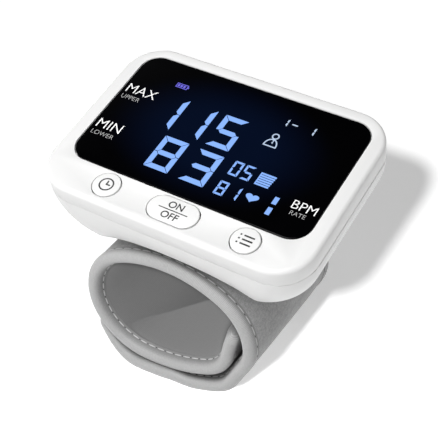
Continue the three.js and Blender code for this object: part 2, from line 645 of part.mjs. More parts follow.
// Display stack
function lcdHolder(width, depth) {
  const wall = HOLDER_WALL + GAP;
  const span = [BOARD_TOP + SEAT, PLATE_UNDERSIDE - SEAT];
  const ring = slab(outline(width + 2 * wall, depth + 2 * wall, wall), ...span, 0, LENS_Y);
  const hole = slab(outline(width + 2 * GAP, depth + 2 * GAP, GAP), -CASE_HEIGHT, 0, 0, LENS_Y);
  return cut(ring, hole);
}

function addDisplay() {
  const width = LENS_WIDTH - 2 * LENS_LEDGE - 2 * GAP;
  const depth = LENS_DEPTH - 2 * LENS_LEDGE - 2 * GAP;
  const [front, back] = [LENS_Y - depth / 2, LENS_Y + depth / 2];
  const sides = [-width / 2, width / 2];
  const lens = slab(outline(LENS_WIDTH, LENS_DEPTH, LENS_CORNER), -LENS_THICK, 0, 0, LENS_Y);
  add(caseGroup, 'display_lens', lens, BLACK_GLASS);
  add(caseGroup, 'lcd_glass', block(sides, [front, back], [LCD_TOP - LCD_THICK, LCD_TOP]), DARK_GLASS);
  const light = [BACKLIGHT_TOP - BACKLIGHT_THICK, BACKLIGHT_TOP];
  const seam = back - STRIP_DEPTH - GAP;
  add(caseGroup, 'lcd_backlight', block(sides, [front, seam], light), CLEAR_PLASTIC);
  add(caseGroup, 'lcd_connector_strip', block(sides, [back - STRIP_DEPTH, back], light), BLACK_RUBBER);
  add(caseGroup, 'lcd_holder', lcdHolder(width, depth), GREY_PLASTIC);
}

// Buttons, switches and board
function button(length) {
  const earTop = PLATE_UNDERSIDE - SEAT;
  const cap = slab(buttonOutline(length, 0), earTop - BUTTON_EAR_THICK, BUTTON_PROUD);
  const reach = length / 2 + BUTTON_EAR;
  const half = BUTTON_EAR_WIDTH / 2;
  const ears = block([-reach, reach], [-half, half], [earTop - BUTTON_EAR_THICK, earTop]);
  return join(cap, ears);
}

function addButtons() {
  const capBottom = PLATE_UNDERSIDE - SEAT - BUTTON_EAR_THICK;
  const half = SWITCH_SIZE / 2;
  for (const { name, x, length } of BUTTONS) {
    add(caseGroup, `${name}_button`, button(length).translate(x, BUTTON_Y, 0), WHITE_PLASTIC);
    const span = [BOARD_TOP + SEAT, capBottom - BUTTON_TRAVEL - SEAT];
    const body = block([x - half, x + half], [BUTTON_Y - half, BUTTON_Y + half], span);
    add(caseGroup, `${name}_switch`, body, STEEL);
  }
}

function mainBoard() {
  const margin = CASE_WALL + BOARD_MARGIN;
  const plan = outline(CASE_WIDTH - 2 * margin, CASE_DEPTH - 2 * margin, CASE_CORNER - margin);
  return cut(
    slab(plan, BOARD_BOTTOM, BOARD_TOP),
    ...CASE_SCREW_PLACES.map(([x, y]) => rod(BOSS_RADIUS + GAP, [-CASE_HEIGHT, 0], x, y)),
    ...BOARD_SCREW_X.map((x) => rod(BOARD_SCREW_SHANK + SEAT, [-CASE_HEIGHT, 0], x, BUTTON_Y)),
  );
}

function screw(shank, head, headThick, length) {
  const profile = [[0, -headThick], [head, -headThick], [head, 0], [shank, 0], [shank, length], [0, length]];
  return turned(profile, SMALL_ROD_SIDES);
}

function addBoard() {
  add(caseGroup, 'main_board', mainBoard(), GREEN_BOARD);
  BOARD_SCREW_X.forEach((x, i) => {
    const seat = BOARD_BOTTOM - SEAT;
    const length = PLATE_UNDERSIDE - GAP - seat;
    const body = screw(BOARD_SCREW_SHANK, BOARD_SCREW_HEAD, BOARD_SCREW_HEAD_THICK, length);
    add(caseGroup, `board_screw_${i + 1}`, body.translate(x, BUTTON_Y, seat), STEEL);
  });
  CASE_SCREW_PLACES.forEach(([x, y], i) => {
    const body = screw(CASE_SCREW_SHANK, CASE_SCREW_HEAD, CASE_SCREW_HEAD_THICK, CASE_SCREW_LENGTH - SEAT);
    add(caseGroup, `case_screw_${i + 1}`, body.translate(x, y, CASE_SCREW_SEAT - SEAT), STEEL);
  });
  const buzzerY = CASE_DEPTH / 2 - BUZZER_MARGIN - BUZZER_RADIUS;
  const buzzerSpan = [BOARD_BOTTOM - SEAT - BUZZER_THICK, BOARD_BOTTOM - SEAT];
  add(caseGroup, 'buzzer', rod(BUZZER_RADIUS, buzzerSpan, 0, buzzerY), BLACK_RUBBER);
}

// Cells and contacts
function cell() {
  const body = CELL_LENGTH / 2 - CELL_NUB;
  return turnedAlongY([
    [0, -CELL_LENGTH / 2], [CELL_RADIUS, -CELL_LENGTH / 2], [CELL_RADIUS, body],
    [CELL_NUB_RADIUS, body], [CELL_NUB_RADIUS, CELL_LENGTH / 2], [0, CELL_LENGTH / 2],
  ], 0, 0, CELL_SIDES);
}

function contact(xs, end) {
  const near = CELL_LENGTH / 2 + GAP;
  const span = end > 0 ? [near, near + CONTACT_THICK] : [-near - CONTACT_THICK, -near];
  const half = CONTACT_WIDTH / 2;
  const plate = block([xs[0] - half, xs[xs.length - 1] + half], span, [CELL_Z - half, CELL_Z + half]);
  const tab = block([xs[0] - CONTACT_TAB / 2, xs[0] + CONTACT_TAB / 2], span, [CELL_Z, BOARD_BOTTOM - SEAT]);
  return join(plate, tab);
}

function addPower() {
  add(caseGroup, 'battery_1', cell().translate(CELL_X[0], 0, CELL_Z), CELL_SLEEVE);
  add(caseGroup, 'battery_2', cell().rotateZ(Math.PI).translate(CELL_X[1], 0, CELL_Z), CELL_SLEEVE);
  add(caseGroup, 'contact_positive', contact([CELL_X[0]], 1), STEEL);
  add(caseGroup, 'contact_negative', contact([CELL_X[1]], 1), STEEL);
  add(caseGroup, 'contact_bridge', contact(CELL_X, -1), STEEL);
}

// Air system: a motor-driven pump, a release valve and a pressure sensor meet at a tee
function motor() {
  const bore = SHAFT_RADIUS + SEAT;
  const back = MOTOR_FRONT + MOTOR_LENGTH;
  return turnedAlongY([
    [0, MOTOR_FRONT + SHAFT_DEPTH + GAP], [bore, MOTOR_FRONT + SHAFT_DEPTH + GAP], [bore, MOTOR_FRONT],
    [MOTOR_RADIUS, MOTOR_FRONT], [MOTOR_RADIUS, back], [0, back],
  ], MOTOR_X, AIR_Z, CELL_SIDES);
}

function pumpHead() {
  const half = PUMP_HEAD_WIDTH / 2;
  const left = MOTOR_X - half;
  const back = PUMP_FRONT + PUMP_HEAD_LENGTH;
  const body = block([left, MOTOR_X + half], [PUMP_FRONT, back], [FLOOR + GAP, AIR_Z + MOTOR_RADIUS]);
  const outlet = rodAlongX(SPIGOT_RADIUS, [left - SPIGOT_LENGTH, left + RIB], AIR_ROW, AIR_Z, SMALL_ROD_SIDES);
  return cut(join(body, outlet), rodAlongY(PUMP_BORE, [back - PUMP_BORE_DEPTH, back + 1], MOTOR_X, AIR_Z));
}

function pumpCrank() {
  const disc = MOTOR_FRONT - 2 * GAP;
  const shaftSpan = [disc - GAP, MOTOR_FRONT + SHAFT_DEPTH];
  const shaft = rodAlongY(SHAFT_RADIUS, shaftSpan, MOTOR_X, AIR_Z, SMALL_ROD_SIDES);
  const web = rodAlongY(CRANK_RADIUS, [disc - CRANK_THICK, disc], MOTOR_X, AIR_Z);
  const pinEnd = MOTOR_FRONT - GAP - PUMP_BORE_DEPTH + 2 * GAP;
  const pin = rodAlongY(CRANK_PIN, [pinEnd, disc - GAP], MOTOR_X, AIR_Z - CRANK_THROW, SMALL_ROD_SIDES);
  return join(shaft, web, pin);
}

function releaseValve() {
  const half = VALVE_WIDTH / 2;
  const back = VALVE_FRONT + VALVE_LENGTH;
  const body = block([TEE_X - half, TEE_X + half], [VALVE_FRONT, back], [FLOOR + GAP, AIR_Z + half]);
  const inletSpan = [VALVE_FRONT - SPIGOT_LENGTH, VALVE_FRONT + RIB];
  const inlet = rodAlongY(SPIGOT_RADIUS, inletSpan, TEE_X, AIR_Z, SMALL_ROD_SIDES);
  const depth = PLUNGER_LENGTH - PLUNGER_PROUD + PLUNGER_TRAVEL + GAP;
  return cut(join(body, inlet), rodAlongY(PLUNGER_RADIUS + GAP, [back - depth, back + 1], TEE_X, AIR_Z));
}

function pressureSensor() {
  const half = SENSOR_WIDTH / 2;
  const span = [AIR_Z - SPIGOT_RADIUS - RIB, BOARD_BOTTOM - SEAT];
  const body = block([TEE_X - half, TEE_X + half], [SENSOR_BACK - SENSOR_LENGTH, SENSOR_BACK], span);
  const portSpan = [SENSOR_BACK - RIB, SENSOR_BACK + SPIGOT_LENGTH];
  const port = rodAlongY(SPIGOT_RADIUS, portSpan, TEE_X, AIR_Z, SMALL_ROD_SIDES);
  return join(body, port);
}

function airTee() {
  const thick = SPIGOT_RADIUS + GAP + TUBE_WALL;
  return join(
    rodAlongX(thick, [TEE_X - TEE_BODY, TEE_X + TEE_BODY], AIR_ROW, AIR_Z, SMALL_ROD_SIDES),
    rodAlongY(thick, [AIR_ROW - TEE_BODY, AIR_ROW + TEE_BODY], TEE_X, AIR_Z, SMALL_ROD_SIDES),
    rodAlongX(SPIGOT_RADIUS, [TEE_X - TEE_ARM, TEE_X + TEE_ARM], AIR_ROW, AIR_Z, SMALL_ROD_SIDES),
    rodAlongY(SPIGOT_RADIUS, [AIR_ROW - TEE_ARM, AIR_ROW + TEE_ARM], TEE_X, AIR_Z, SMALL_ROD_SIDES),
  );
}

function straightTube(from, to) {
  return tube(new THREE.LineCurve3(new THREE.Vector3(...from), new THREE.Vector3(...to)), 1);
}

function addAirSystem() {
  add(caseGroup, 'pump_motor', motor(), STEEL);
  add(caseGroup, 'pump_head', pumpHead(), GREY_PLASTIC);
  add(caseGroup, 'pump_crank', pumpCrank(), STEEL);
  add(caseGroup, 'release_valve', releaseValve(), GREY_PLASTIC);
  const valveBack = VALVE_FRONT + VALVE_LENGTH + PLUNGER_PROUD;
  const plunger = rodAlongY(PLUNGER_RADIUS, [valveBack - PLUNGER_LENGTH, valveBack], TEE_X, AIR_Z);
  add(caseGroup, 'valve_plunger', plunger, STEEL);
  add(caseGroup, 'pressure_sensor', pressureSensor(), CLEAR_PLASTIC);
  add(caseGroup, 'air_tee', airTee(), SILICONE);
  const start = TEE_BODY + GAP;
  const pumpFace = MOTOR_X - PUMP_HEAD_WIDTH / 2 - GAP;
  const pumpTube = straightTube([TEE_X + start, AIR_ROW, AIR_Z], [pumpFace, AIR_ROW, AIR_Z]);
  add(caseGroup, 'pump_tube', pumpTube, SILICONE);
  const valveTube = straightTube([TEE_X, AIR_ROW + start, AIR_Z], [TEE_X, VALVE_FRONT - GAP, AIR_Z]);
  add(caseGroup, 'valve_tube', valveTube, SILICONE);
  const sensorTube = straightTube([TEE_X, AIR_ROW - start, AIR_Z], [TEE_X, SENSOR_BACK + GAP, AIR_Z]);
  add(caseGroup, 'sensor_tube', sensorTube, SILICONE);
}

// Cuff fittings: the nozzle stands under the tee's line, between the two anchor studs
const teePort = new THREE.Vector3(TEE_X - TEE_ARM, AIR_ROW, AIR_Z).applyMatrix4(caseGroup.matrix);
const nozzleY = teePort.y;
const anchorRows = [-ANCHOR_PITCH / 2, ANCHOR_PITCH / 2];
const NOZZLE_TOP = SADDLE_FLOOR + SPIGOT_LENGTH + GAP + SEAT;

function nozzle() {
  const flange = [STIFFENER_BAND[0] + SEAT, STIFFENER_BAND[0] + SEAT + NOZZLE_FLANGE_THICK];
  const shoulder = SADDLE_FLOOR + SEAT;
  return turned([
    [NOZZLE_BORE, flange[0]], [NOZZLE_FLANGE, flange[0]], [NOZZLE_FLANGE, flange[1]],
    [NOZZLE_RADIUS, flange[1]], [NOZZLE_RADIUS, shoulder], [SPIGOT_RADIUS, shoulder],
    [SPIGOT_RADIUS, NOZZLE_TOP], [NOZZLE_BORE, NOZZLE_TOP], [NOZZLE_BORE, flange[0]],
  ]).translate(0, nozzleY, 0);
}

function cuffTube() {
  const point = (x, z) => new THREE.Vector3(x, nozzleY, z);
  const begin = point(teePort.x + TEE_ARM - TEE_BODY - GAP, teePort.z);
  const bendStart = point(teePort.x - GAP, teePort.z);
  const bendEnd = point(0, NOZZLE_TOP + GAP);
  const end = point(0, SADDLE_FLOOR + SEAT + GAP);
  const route = new THREE.CurvePath();
  route.add(new THREE.LineCurve3(begin, bendStart));
  route.add(new THREE.CubicBezierCurve3(
    bendStart,
    point(bendStart.x * (1 - TUBE_BEND_EASE), bendStart.z),
    point(0, bendEnd.z + (bendStart.z - bendEnd.z) * (1 - TUBE_BEND_EASE)),
    bendEnd,
  ));
  route.add(new THREE.LineCurve3(bendEnd, end));
  console.log('cuff tube length', route.getLength().toFixed(1), 'mm');
  return tube(route, TUBE_STEPS);
}

function saddleStiffener() {
  const shell = sweep(saddleCourse, rectangle(STIFFENER_BAND, BODY_SPAN));
  const studTop = SADDLE_FLOOR - SEAT;
  const studs = anchorRows.map((y) => rod(STUD_RADIUS, [STIFFENER_BAND[0] + SEAT, studTop], 0, y));
  return cut(
    join(shell, ...studs),
    ...anchorRows.map((y) => rod(ANCHOR_SCREW_SHANK + SEAT, [-OUTSIDE, OUTSIDE + CASE_HEIGHT], 0, y)),
    rod(NOZZLE_FLANGE + GAP, [-OUTSIDE, OUTSIDE], 0, nozzleY),
  );
}

// Cuff: a band in three stretches, with bound rims at the front and the rear
function bindingSection(end) {
  const half = OUTSIDE;
  const rim = [];
  for (let i = 0; i <= RIM_STEPS; i += 1) {
    const angle = Math.PI * (i / RIM_STEPS - 0.5);
    rim.push([half * Math.sin(angle), end * (RIM - BINDING_ROUND + BINDING_ROUND * Math.cos(angle))]);
  }
  return [[-half, end * SEAM], ...rim, [half, end * SEAM]];
}

function addBindings(name, stations, finished = (geometry) => geometry) {
  add(cuffGroup, `${name}_front_binding`, finished(sweep(stations, bindingSection(-1))), BINDING_TAPE);
  add(cuffGroup, `${name}_rear_binding`, finished(sweep(stations, bindingSection(1))), BINDING_TAPE);
}

// The flap's underside is pressed flat where the whole object stands on it
function pressedFlat(geometry) {
  const level = flapFloorLevel - OUTSIDE + FLAP_PRESSED;
  const below = [level - BAND_THICK, level];
  return cut(geometry, block([-CASE_WIDTH, CASE_WIDTH], [-CASE_DEPTH, CASE_DEPTH], below));
}

// The bound end of a stretch, thinning towards its tip
function addTip(name, stations) {
  const thinned = stations.map((station, i) => {
    const along = i / (stations.length - 1);
    return { ...station, slim: 1 - TIP_THINNING * along ** 2 };
  });
  const rims = [bindingSection(-1).slice(1, -1), bindingSection(1).slice(1, -1).reverse()];
  const section = rims.flat();
  add(cuffGroup, `${name}_end_binding`, sweep(thinned, section), BINDING_TAPE);
}

function addCuff() {
  const holes = [
    ...anchorRows.map((y) => rod(STUD_RADIUS + GAP, [0, CASE_HEIGHT], 0, y)),
    rod(NOZZLE_RADIUS + GAP, [0, CASE_HEIGHT], 0, nozzleY),
  ];
  const bladderSpan = [BODY_SPAN[0] + BLADDER_MARGIN, BODY_SPAN[1] - BLADDER_MARGIN];
  const layer = (stations, band, span = BODY_SPAN) => sweep(stations, rectangle(band, span));
  add(cuffGroup, 'saddle_outer_fabric', cut(layer(saddleCourse, FABRIC_BAND), ...holes), OUTER_FABRIC);
  add(cuffGroup, 'saddle_stiffener', saddleStiffener(), CLEAR_PLASTIC);
  add(cuffGroup, 'air_bladder', layer(saddleCourse, BLADDER_BAND, bladderSpan), SILICONE);
  add(cuffGroup, 'saddle_lining', layer(saddleCourse, LINING_BAND), LINING_FABRIC);
  addBindings('saddle', saddleCourse);

  add(cuffGroup, 'wrap_outer_fabric', layer(wrapCourse, FABRIC_BAND), OUTER_FABRIC);
  add(cuffGroup, 'wrap_padding', layer(wrapCourse, CORE_BAND), FOAM);
  add(cuffGroup, 'wrap_lining', layer(wrapCourse, LINING_BAND), LINING_FABRIC);
  addBindings('wrap', wrapCourse);
  addTip('wrap', wrapTipCourse);

  const flapLining = [LINING_BAND[0] + HOOK_THICK, FABRIC_BAND[0] - GAP];
  const hookSpan = [BODY_SPAN[0] + HOOK_MARGIN, BODY_SPAN[1] - HOOK_MARGIN];
  const hookBand = [LINING_BAND[0], LINING_BAND[0] + HOOK_THICK - GAP];
  add(cuffGroup, 'flap_outer_fabric', pressedFlat(layer(flapCourse, FABRIC_BAND)), OUTER_FABRIC);
  add(cuffGroup, 'flap_lining', layer(flapCourse, flapLining), LINING_FABRIC);
  add(cuffGroup, 'hook_patch', layer(flapHook, hookBand, hookSpan), HOOK_TAPE);
  addBindings('flap', flapCourse, pressedFlat);
  addTip('flap', flapTipCourse);

  add(cuffGroup, 'cuff_nozzle', nozzle(), SILICONE);
  add(cuffGroup, 'cuff_tube', cuffTube(), SILICONE);
  anchorRows.forEach((y, i) => {
    const seat = SADDLE_FLOOR + SEAT;
    const length = seat - STIFFENER_BAND[0] - GAP;
    const body = screw(ANCHOR_SCREW_SHANK, ANCHOR_SCREW_HEAD, ANCHOR_SCREW_HEAD_THICK, length);
    add(cuffGroup, `anchor_screw_${i + 1}`, body.rotateX(Math.PI).translate(0, y, seat), STEEL);
  });
}

add(caseGroup, 'top_case', topCase(), WHITE_PLASTIC);
add(caseGroup, 'bottom_case', bottomCase(), WHITE_PLASTIC);
add(caseGroup, 'battery_door', batteryDoor(), WHITE_PLASTIC);
addDisplay();
addButtons();
addBoard();
addPower();
addAirSystem();
addCuff();

// The origin is the middle of the whole object's footprint, on the surface that it stands on
const extent = new THREE.Box3().setFromObject(monitor, true);
const centre = extent.getCenter(new THREE.Vector3());
monitor.position.set(-centre.x, -centre.y, -extent.min.z);

export default monitor;
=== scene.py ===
# %% [markdown]
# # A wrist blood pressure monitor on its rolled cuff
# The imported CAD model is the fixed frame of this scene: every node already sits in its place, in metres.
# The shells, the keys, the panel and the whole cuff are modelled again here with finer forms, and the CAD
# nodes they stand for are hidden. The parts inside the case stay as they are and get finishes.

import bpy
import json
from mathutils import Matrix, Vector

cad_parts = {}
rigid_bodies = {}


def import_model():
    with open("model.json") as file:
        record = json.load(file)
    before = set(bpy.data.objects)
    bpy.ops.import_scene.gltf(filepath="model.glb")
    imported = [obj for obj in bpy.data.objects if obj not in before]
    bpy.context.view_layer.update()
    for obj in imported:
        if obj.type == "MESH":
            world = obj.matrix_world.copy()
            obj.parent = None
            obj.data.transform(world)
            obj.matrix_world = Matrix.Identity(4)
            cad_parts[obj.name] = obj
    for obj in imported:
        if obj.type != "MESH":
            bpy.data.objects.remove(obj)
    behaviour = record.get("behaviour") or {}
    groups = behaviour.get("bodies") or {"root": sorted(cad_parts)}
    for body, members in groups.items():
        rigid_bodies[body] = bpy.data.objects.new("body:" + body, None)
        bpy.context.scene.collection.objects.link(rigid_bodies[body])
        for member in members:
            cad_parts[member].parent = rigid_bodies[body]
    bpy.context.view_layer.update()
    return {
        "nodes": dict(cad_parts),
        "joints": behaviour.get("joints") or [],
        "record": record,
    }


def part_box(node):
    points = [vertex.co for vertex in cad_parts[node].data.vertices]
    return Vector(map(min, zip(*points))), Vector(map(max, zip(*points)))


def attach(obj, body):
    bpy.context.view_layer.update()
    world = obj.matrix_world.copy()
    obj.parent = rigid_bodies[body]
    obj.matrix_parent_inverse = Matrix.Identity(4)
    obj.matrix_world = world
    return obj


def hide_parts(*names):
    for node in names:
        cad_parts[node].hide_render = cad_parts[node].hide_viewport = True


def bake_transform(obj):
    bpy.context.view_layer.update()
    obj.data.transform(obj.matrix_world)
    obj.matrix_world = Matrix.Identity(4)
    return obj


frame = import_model()

import json
import math

import bmesh
import bpy
from mathutils import Matrix, Vector, noise

# %% [markdown]
# ## Camera
# The photograph was taken from the front right, from above, with a long lens. The panel's four corners gave
# the camera's place and direction. It has no roll, so pointing it along one vector with Z up is enough.

# %% Camera
MM = 0.001
CAMERA_PLACE = Vector((127.71, -203.13, 247.99)) * MM
CAMERA_LOOK = Vector((-0.4065, 0.6526, -0.6394))
bpy.ops.object.select_all(action="DESELECT")
bpy.ops.object.camera_add(location=CAMERA_PLACE)
camera = bpy.context.object
camera.rotation_euler = CAMERA_LOOK.to_track_quat("-Z", "Y").to_euler()
camera.data.sensor_width = 36
camera.data.lens = 83.75
camera.data.clip_start = 0.01
bpy.context.scene.camera = camera
print("camera looks along", tuple(round(part, 3) for part in CAMERA_LOOK))

# %% [markdown]
# ## Floor and light
# A white sweep and soft boxes are what a product studio uses. A near soft box in front of the case and above
# it fades towards the case's back, and a far one evens out the rest. Three sun lamps light one thing each:
# one throws the shadow on the floor, one shines into the cuff from the left, so that the rim's shadow crosses
# the lining, and one beside the camera keeps the rest of the lining from going dark. Light linking says which
# lamp lights what. A faint glow of the sweep keeps the floor's shadow light. The sky is pale at the horizon,
# dimmer behind the set and dark overhead, like a flag hung above it, so the panel mirrors nothing bright to
# the camera and stays black. The standard view transform keeps white as white.


# %% Floor
def set_inputs(node, values):
    for label, value in values.items():
        node.inputs[label].default_value = value


FLOOR_VALUES = {
    "Base Color": (0.9, 0.9, 0.9, 1),
    "Roughness": 0.9,
    "Specular IOR Level": 0.1,
    "Emission Color": (1, 1, 1, 1),
    "Emission Strength": 0.42,
}
bpy.context.scene.view_settings.view_transform = "Standard"
bpy.ops.mesh.primitive_plane_add(size=8)
floor = bpy.context.object
floor.name = "studio_floor"
floor_look = bpy.data.materials.new("pale_sweep")
floor_look.use_nodes = True
set_inputs(floor_look.node_tree.nodes["Principled BSDF"], FLOOR_VALUES)
floor.data.materials.append(floor_look)
print("floor", floor.name)


# %% Sky
def map_range(tree, value, values, smooth=False):
    node = tree.nodes.new("ShaderNodeMapRange")
    node.interpolation_type = "SMOOTHSTEP" if smooth else "LINEAR"
    set_inputs(node, values)
    tree.links.new(value, node.inputs["Value"])
    return node.outputs["Result"]


SKY_STEPS = [(0.0, 1.0), (0.1, 0.9), (0.22, 0.34), (0.4, 0.3), (0.6, 0.2), (0.74, 0.02)]
SKY_BEHIND = {"From Min": -0.2, "From Max": 0.7, "To Min": 1.0, "To Max": 0.4}
world = bpy.context.scene.world or bpy.data.worlds.new("studio")
bpy.context.scene.world = world
world.use_nodes = True
sky = world.node_tree
background = sky.nodes["Background"]
direction = sky.nodes.new("ShaderNodeTexCoord")
heights = sky.nodes.new("ShaderNodeSeparateXYZ")
fade = sky.nodes.new("ShaderNodeValToRGB")
fade.color_ramp.elements.remove(fade.color_ramp.elements[1])
for step, (height, level) in enumerate(SKY_STEPS):
    mark = fade.color_ramp.elements[0] if step == 0 else fade.color_ramp.elements.new(height)
    mark.position = height
    mark.color = (level, level, level, 1)
sky.links.new(direction.outputs["Generated"], heights.inputs[0])
sky.links.new(heights.outputs["Z"], fade.inputs["Fac"])
sky.links.new(fade.outputs["Color"], background.inputs["Color"])
sky.links.new(map_range(sky, heights.outputs["Y"], SKY_BEHIND), background.inputs["Strength"])
print("sky steps", len(SKY_STEPS))


# %% Lamps
def new_lamp(kind, name, place, target, strength):
    bpy.ops.object.light_add(type=kind, location=place)
    lamp = bpy.context.object
    lamp.name = name
    lamp.data.energy = strength
    lamp.rotation_euler = (Vector(target) - lamp.location).to_track_quat("-Z", "Y").to_euler()
    return lamp


def soft_box(name, place, size, watts):
    lamp = new_lamp("AREA", name, place, (0, 0, 0.05), watts)
    lamp.data.shape = "SQUARE"
    lamp.data.size = size
    return lamp


def sun_lamp(name, place, degrees, strength):
    lamp = new_lamp("SUN", name, place, (0, 0, 0), strength)
    lamp.data.angle = math.radians(degrees)
    return lamp


def link_light(lamp, piece, lit):
    """Light linking: the lamp lights only the pieces it includes, or everything but those it excludes."""
    group = lamp.light_linking.receiver_collection
    if group is None:
        group = bpy.data.collections.new(lamp.name + "_receivers")
        lamp.light_linking.receiver_collection = group
    group.objects.link(piece)
    link = group.collection_objects[len(group.objects) - 1].light_linking
    link.link_state = "INCLUDE" if lit else "EXCLUDE"


shadow_light = sun_lamp("shadow_light", (0.17, -1.1, 0.93), 3.5, 3.0)
cuff_light = sun_lamp("cuff_light", (-0.8, -1, 0.6), 1.2, 2.5)
fill_light = sun_lamp("fill_light", (0.128, -0.203, 0.228), 4, 2.8)
key_light = soft_box("key_light", (-0.02, -0.17, 0.34), 0.15, 0.98)
top_light = soft_box("top_light", (-0.45, -0.45, 1.25), 0.6, 6)
link_light(shadow_light, floor, True)
link_light(key_light, floor, False)
link_light(top_light, floor, False)

# %% [markdown]
# ## Working level and in millimetres
# The case is tilted towards its reader. It is easier to model it level, with the middle of its top face at
# the origin and one Blender unit for a millimetre, and to bring the finished mesh to its place with one
# matrix. The buttons' joint gives the tilt and the lens node gives the place.

# %% The case's own frame
LENS = {"width": 78, "depth": 45.5, "corner": 6, "thick": 1.2, "y": 3.95}
press = next(j for j in frame["joints"] if j["name"] == "start_button_press")
face_up = -Vector(press["axis"]).normalized()
tilt = math.atan2(-face_up.y, face_up.z)
lens_low, lens_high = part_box("display_lens")
lens_top = (lens_low + lens_high) / 2 + face_up * LENS["thick"] / 2 * MM
TO_METRES = Matrix.Scale(MM, 4)
LEVEL_CASE = Matrix.Rotation(tilt, 4, "X") @ TO_METRES
case_origin = lens_top - LEVEL_CASE @ Vector((0, LENS["y"], 0))
CASE_PLACE = Matrix.Translation(case_origin) @ LEVEL_CASE
print("tilt", round(math.degrees(tilt), 2), "top face middle", [round(v / MM, 2) for v in case_origin])

# %% [markdown]
# ## Small tools for modelling
# Each helper below is what one would do by hand: select some edges, bevel them, cut one body with another,
# round the edges that are left. They are kept short and are used for every piece.


# %% Selecting and editing
def fresh():
    """Object mode with nothing selected."""
    if bpy.context.mode != "OBJECT":
        bpy.ops.object.mode_set(mode="OBJECT")
    bpy.ops.object.select_all(action="DESELECT")


def only(piece):
    fresh()
    piece.select_set(True)
    bpy.context.view_layer.objects.active = piece


def edit(piece):
    only(piece)
    bpy.ops.object.mode_set(mode="EDIT")


def done():
    bpy.ops.object.mode_set(mode="OBJECT")


def pick(kind, test):
    """In edit mode, selects the verts, edges or faces that pass a test, and nothing else."""
    bpy.ops.mesh.select_mode(type={"verts": "VERT", "edges": "EDGE", "faces": "FACE"}[kind])
    bpy.ops.mesh.select_all(action="DESELECT")
    mesh = bmesh.from_edit_mesh(bpy.context.edit_object.data)
    for item in getattr(mesh, kind):
        if test(item):
            item.select_set(True)
    mesh.select_flush_mode()
    bmesh.update_edit_mesh(bpy.context.edit_object.data)


def upright(edge):
    return abs(edge.verts[0].co.z - edge.verts[1].co.z) > 0.001


def at_level(level):
    return lambda edge: all(abs(v.co.z - level) < 0.001 for v in edge.verts)


# %% Blocks with rounded corners
def block(name, xs, ys, zs):
    fresh()
    bpy.ops.mesh.primitive_cube_add(size=1)
    piece = bpy.context.object
    piece.name = name
    piece.scale = (xs[1] - xs[0], ys[1] - ys[0], zs[1] - zs[0])
    piece.location = (sum(xs) / 2, sum(ys) / 2, sum(zs) / 2)
    bpy.ops.object.transform_apply(location=True, rotation=False, scale=True)
    return piece


def rounded_block(name, size, corner, zs, middle=(0, 0), steps=12):
    x, y = middle
    piece = block(name, (x - size[0] / 2, x + size[0] / 2), (y - size[1] / 2, y + size[1] / 2), zs)
    edit(piece)
    pick("edges", upright)
    bpy.ops.mesh.bevel(offset=corner, segments=steps, profile=0.5, affect="EDGES")
    done()
    return piece


def round_over(piece, level, size, steps=5):
    """Rounds the edge that runs round a block at one level."""
    edit(piece)
    pick("edges", at_level(level))
    bpy.ops.mesh.bevel(offset=size, segments=steps, profile=0.5, affect="EDGES")
    done()


def rod(name, radius, zs, middle, sides=32):
    fresh()
    place = (middle[0], middle[1], sum(zs) / 2)
    bpy.ops.mesh.primitive_cylinder_add(radius=radius, depth=zs[1] - zs[0], location=place, vertices=sides)
    piece = bpy.context.object
    piece.name = name
    bpy.ops.object.transform_apply(location=True, rotation=False, scale=True)
    return piece


# %% Joining, cutting and finishing
def apply_all(piece):
    only(piece)
    for change in list(piece.modifiers):
        bpy.ops.object.modifier_apply(modifier=change.name)


def combine(piece, operation, *tools):
    for tool in tools:
        change = piece.modifiers.new(operation, "BOOLEAN")
        change.operation = operation
        change.solver = "EXACT"
        change.object = tool
        apply_all(piece)
        bpy.data.objects.remove(tool, do_unlink=True)
    return piece


def cut(piece, *tools):
    return combine(piece, "DIFFERENCE", *tools)


def join(piece, *tools):
    return combine(piece, "UNION", *tools)


def overlap(piece, *tools):
    return combine(piece, "INTERSECT", *tools)


def gather(name, pieces):
    """One object from several loose bodies, with every face turned outwards."""
    fresh()
    for piece in pieces:
        piece.select_set(True)
    bpy.context.view_layer.objects.active = pieces[0]
    if len(pieces) > 1:
        bpy.ops.object.join()
    whole = bpy.context.object
    whole.name = name
    face_outwards(whole)
    return whole


def face_outwards(piece):
    edit(piece)
    bpy.ops.mesh.select_all(action="SELECT")
    bpy.ops.mesh.normals_make_consistent(inside=False)
    done()


def soften(piece, width, steps=2, limit=40):
    """A small round on every sharp edge, as a mould leaves it, and smooth shading across it."""
    change = piece.modifiers.new("edge_round", "BEVEL")
    change.width = width
    change.segments = steps
    change.limit_method = "ANGLE"
    change.angle_limit = math.radians(limit)
    apply_all(piece)
    smooth(piece)


def smooth(piece, limit=35):
    only(piece)
    bpy.ops.object.shade_smooth_by_angle(angle=math.radians(limit))


def settle(piece, matrix, look):
    """Brings a finished mesh to its place, leaves its object at the origin, and gives it its finish."""
    fresh()
    piece.data.transform(matrix @ piece.matrix_world)
    piece.matrix_world = Matrix.Identity(4)
    piece.data.materials.clear()
    piece.data.materials.append(look)
    print(piece.name, len(piece.data.vertices), "points")
    return piece


# %% [markdown]
# ## Finishes
# Effects that several finishes share are node groups. One gives an even mottle with a fine height for
# moulded and printed surfaces, one gives the pile of brushed cloth, and one draws threads along the cuff,
# from the flat coordinates that each cuff piece keeps from before it was rolled, with painted shade that
# darkens it towards the seam, so that a round tape's crest reads lighter. The shader stays in each material,
# and what is the same all over is set on the shader itself.


# %% Node helpers
def grey(level):
    return (level, level, level, 1)


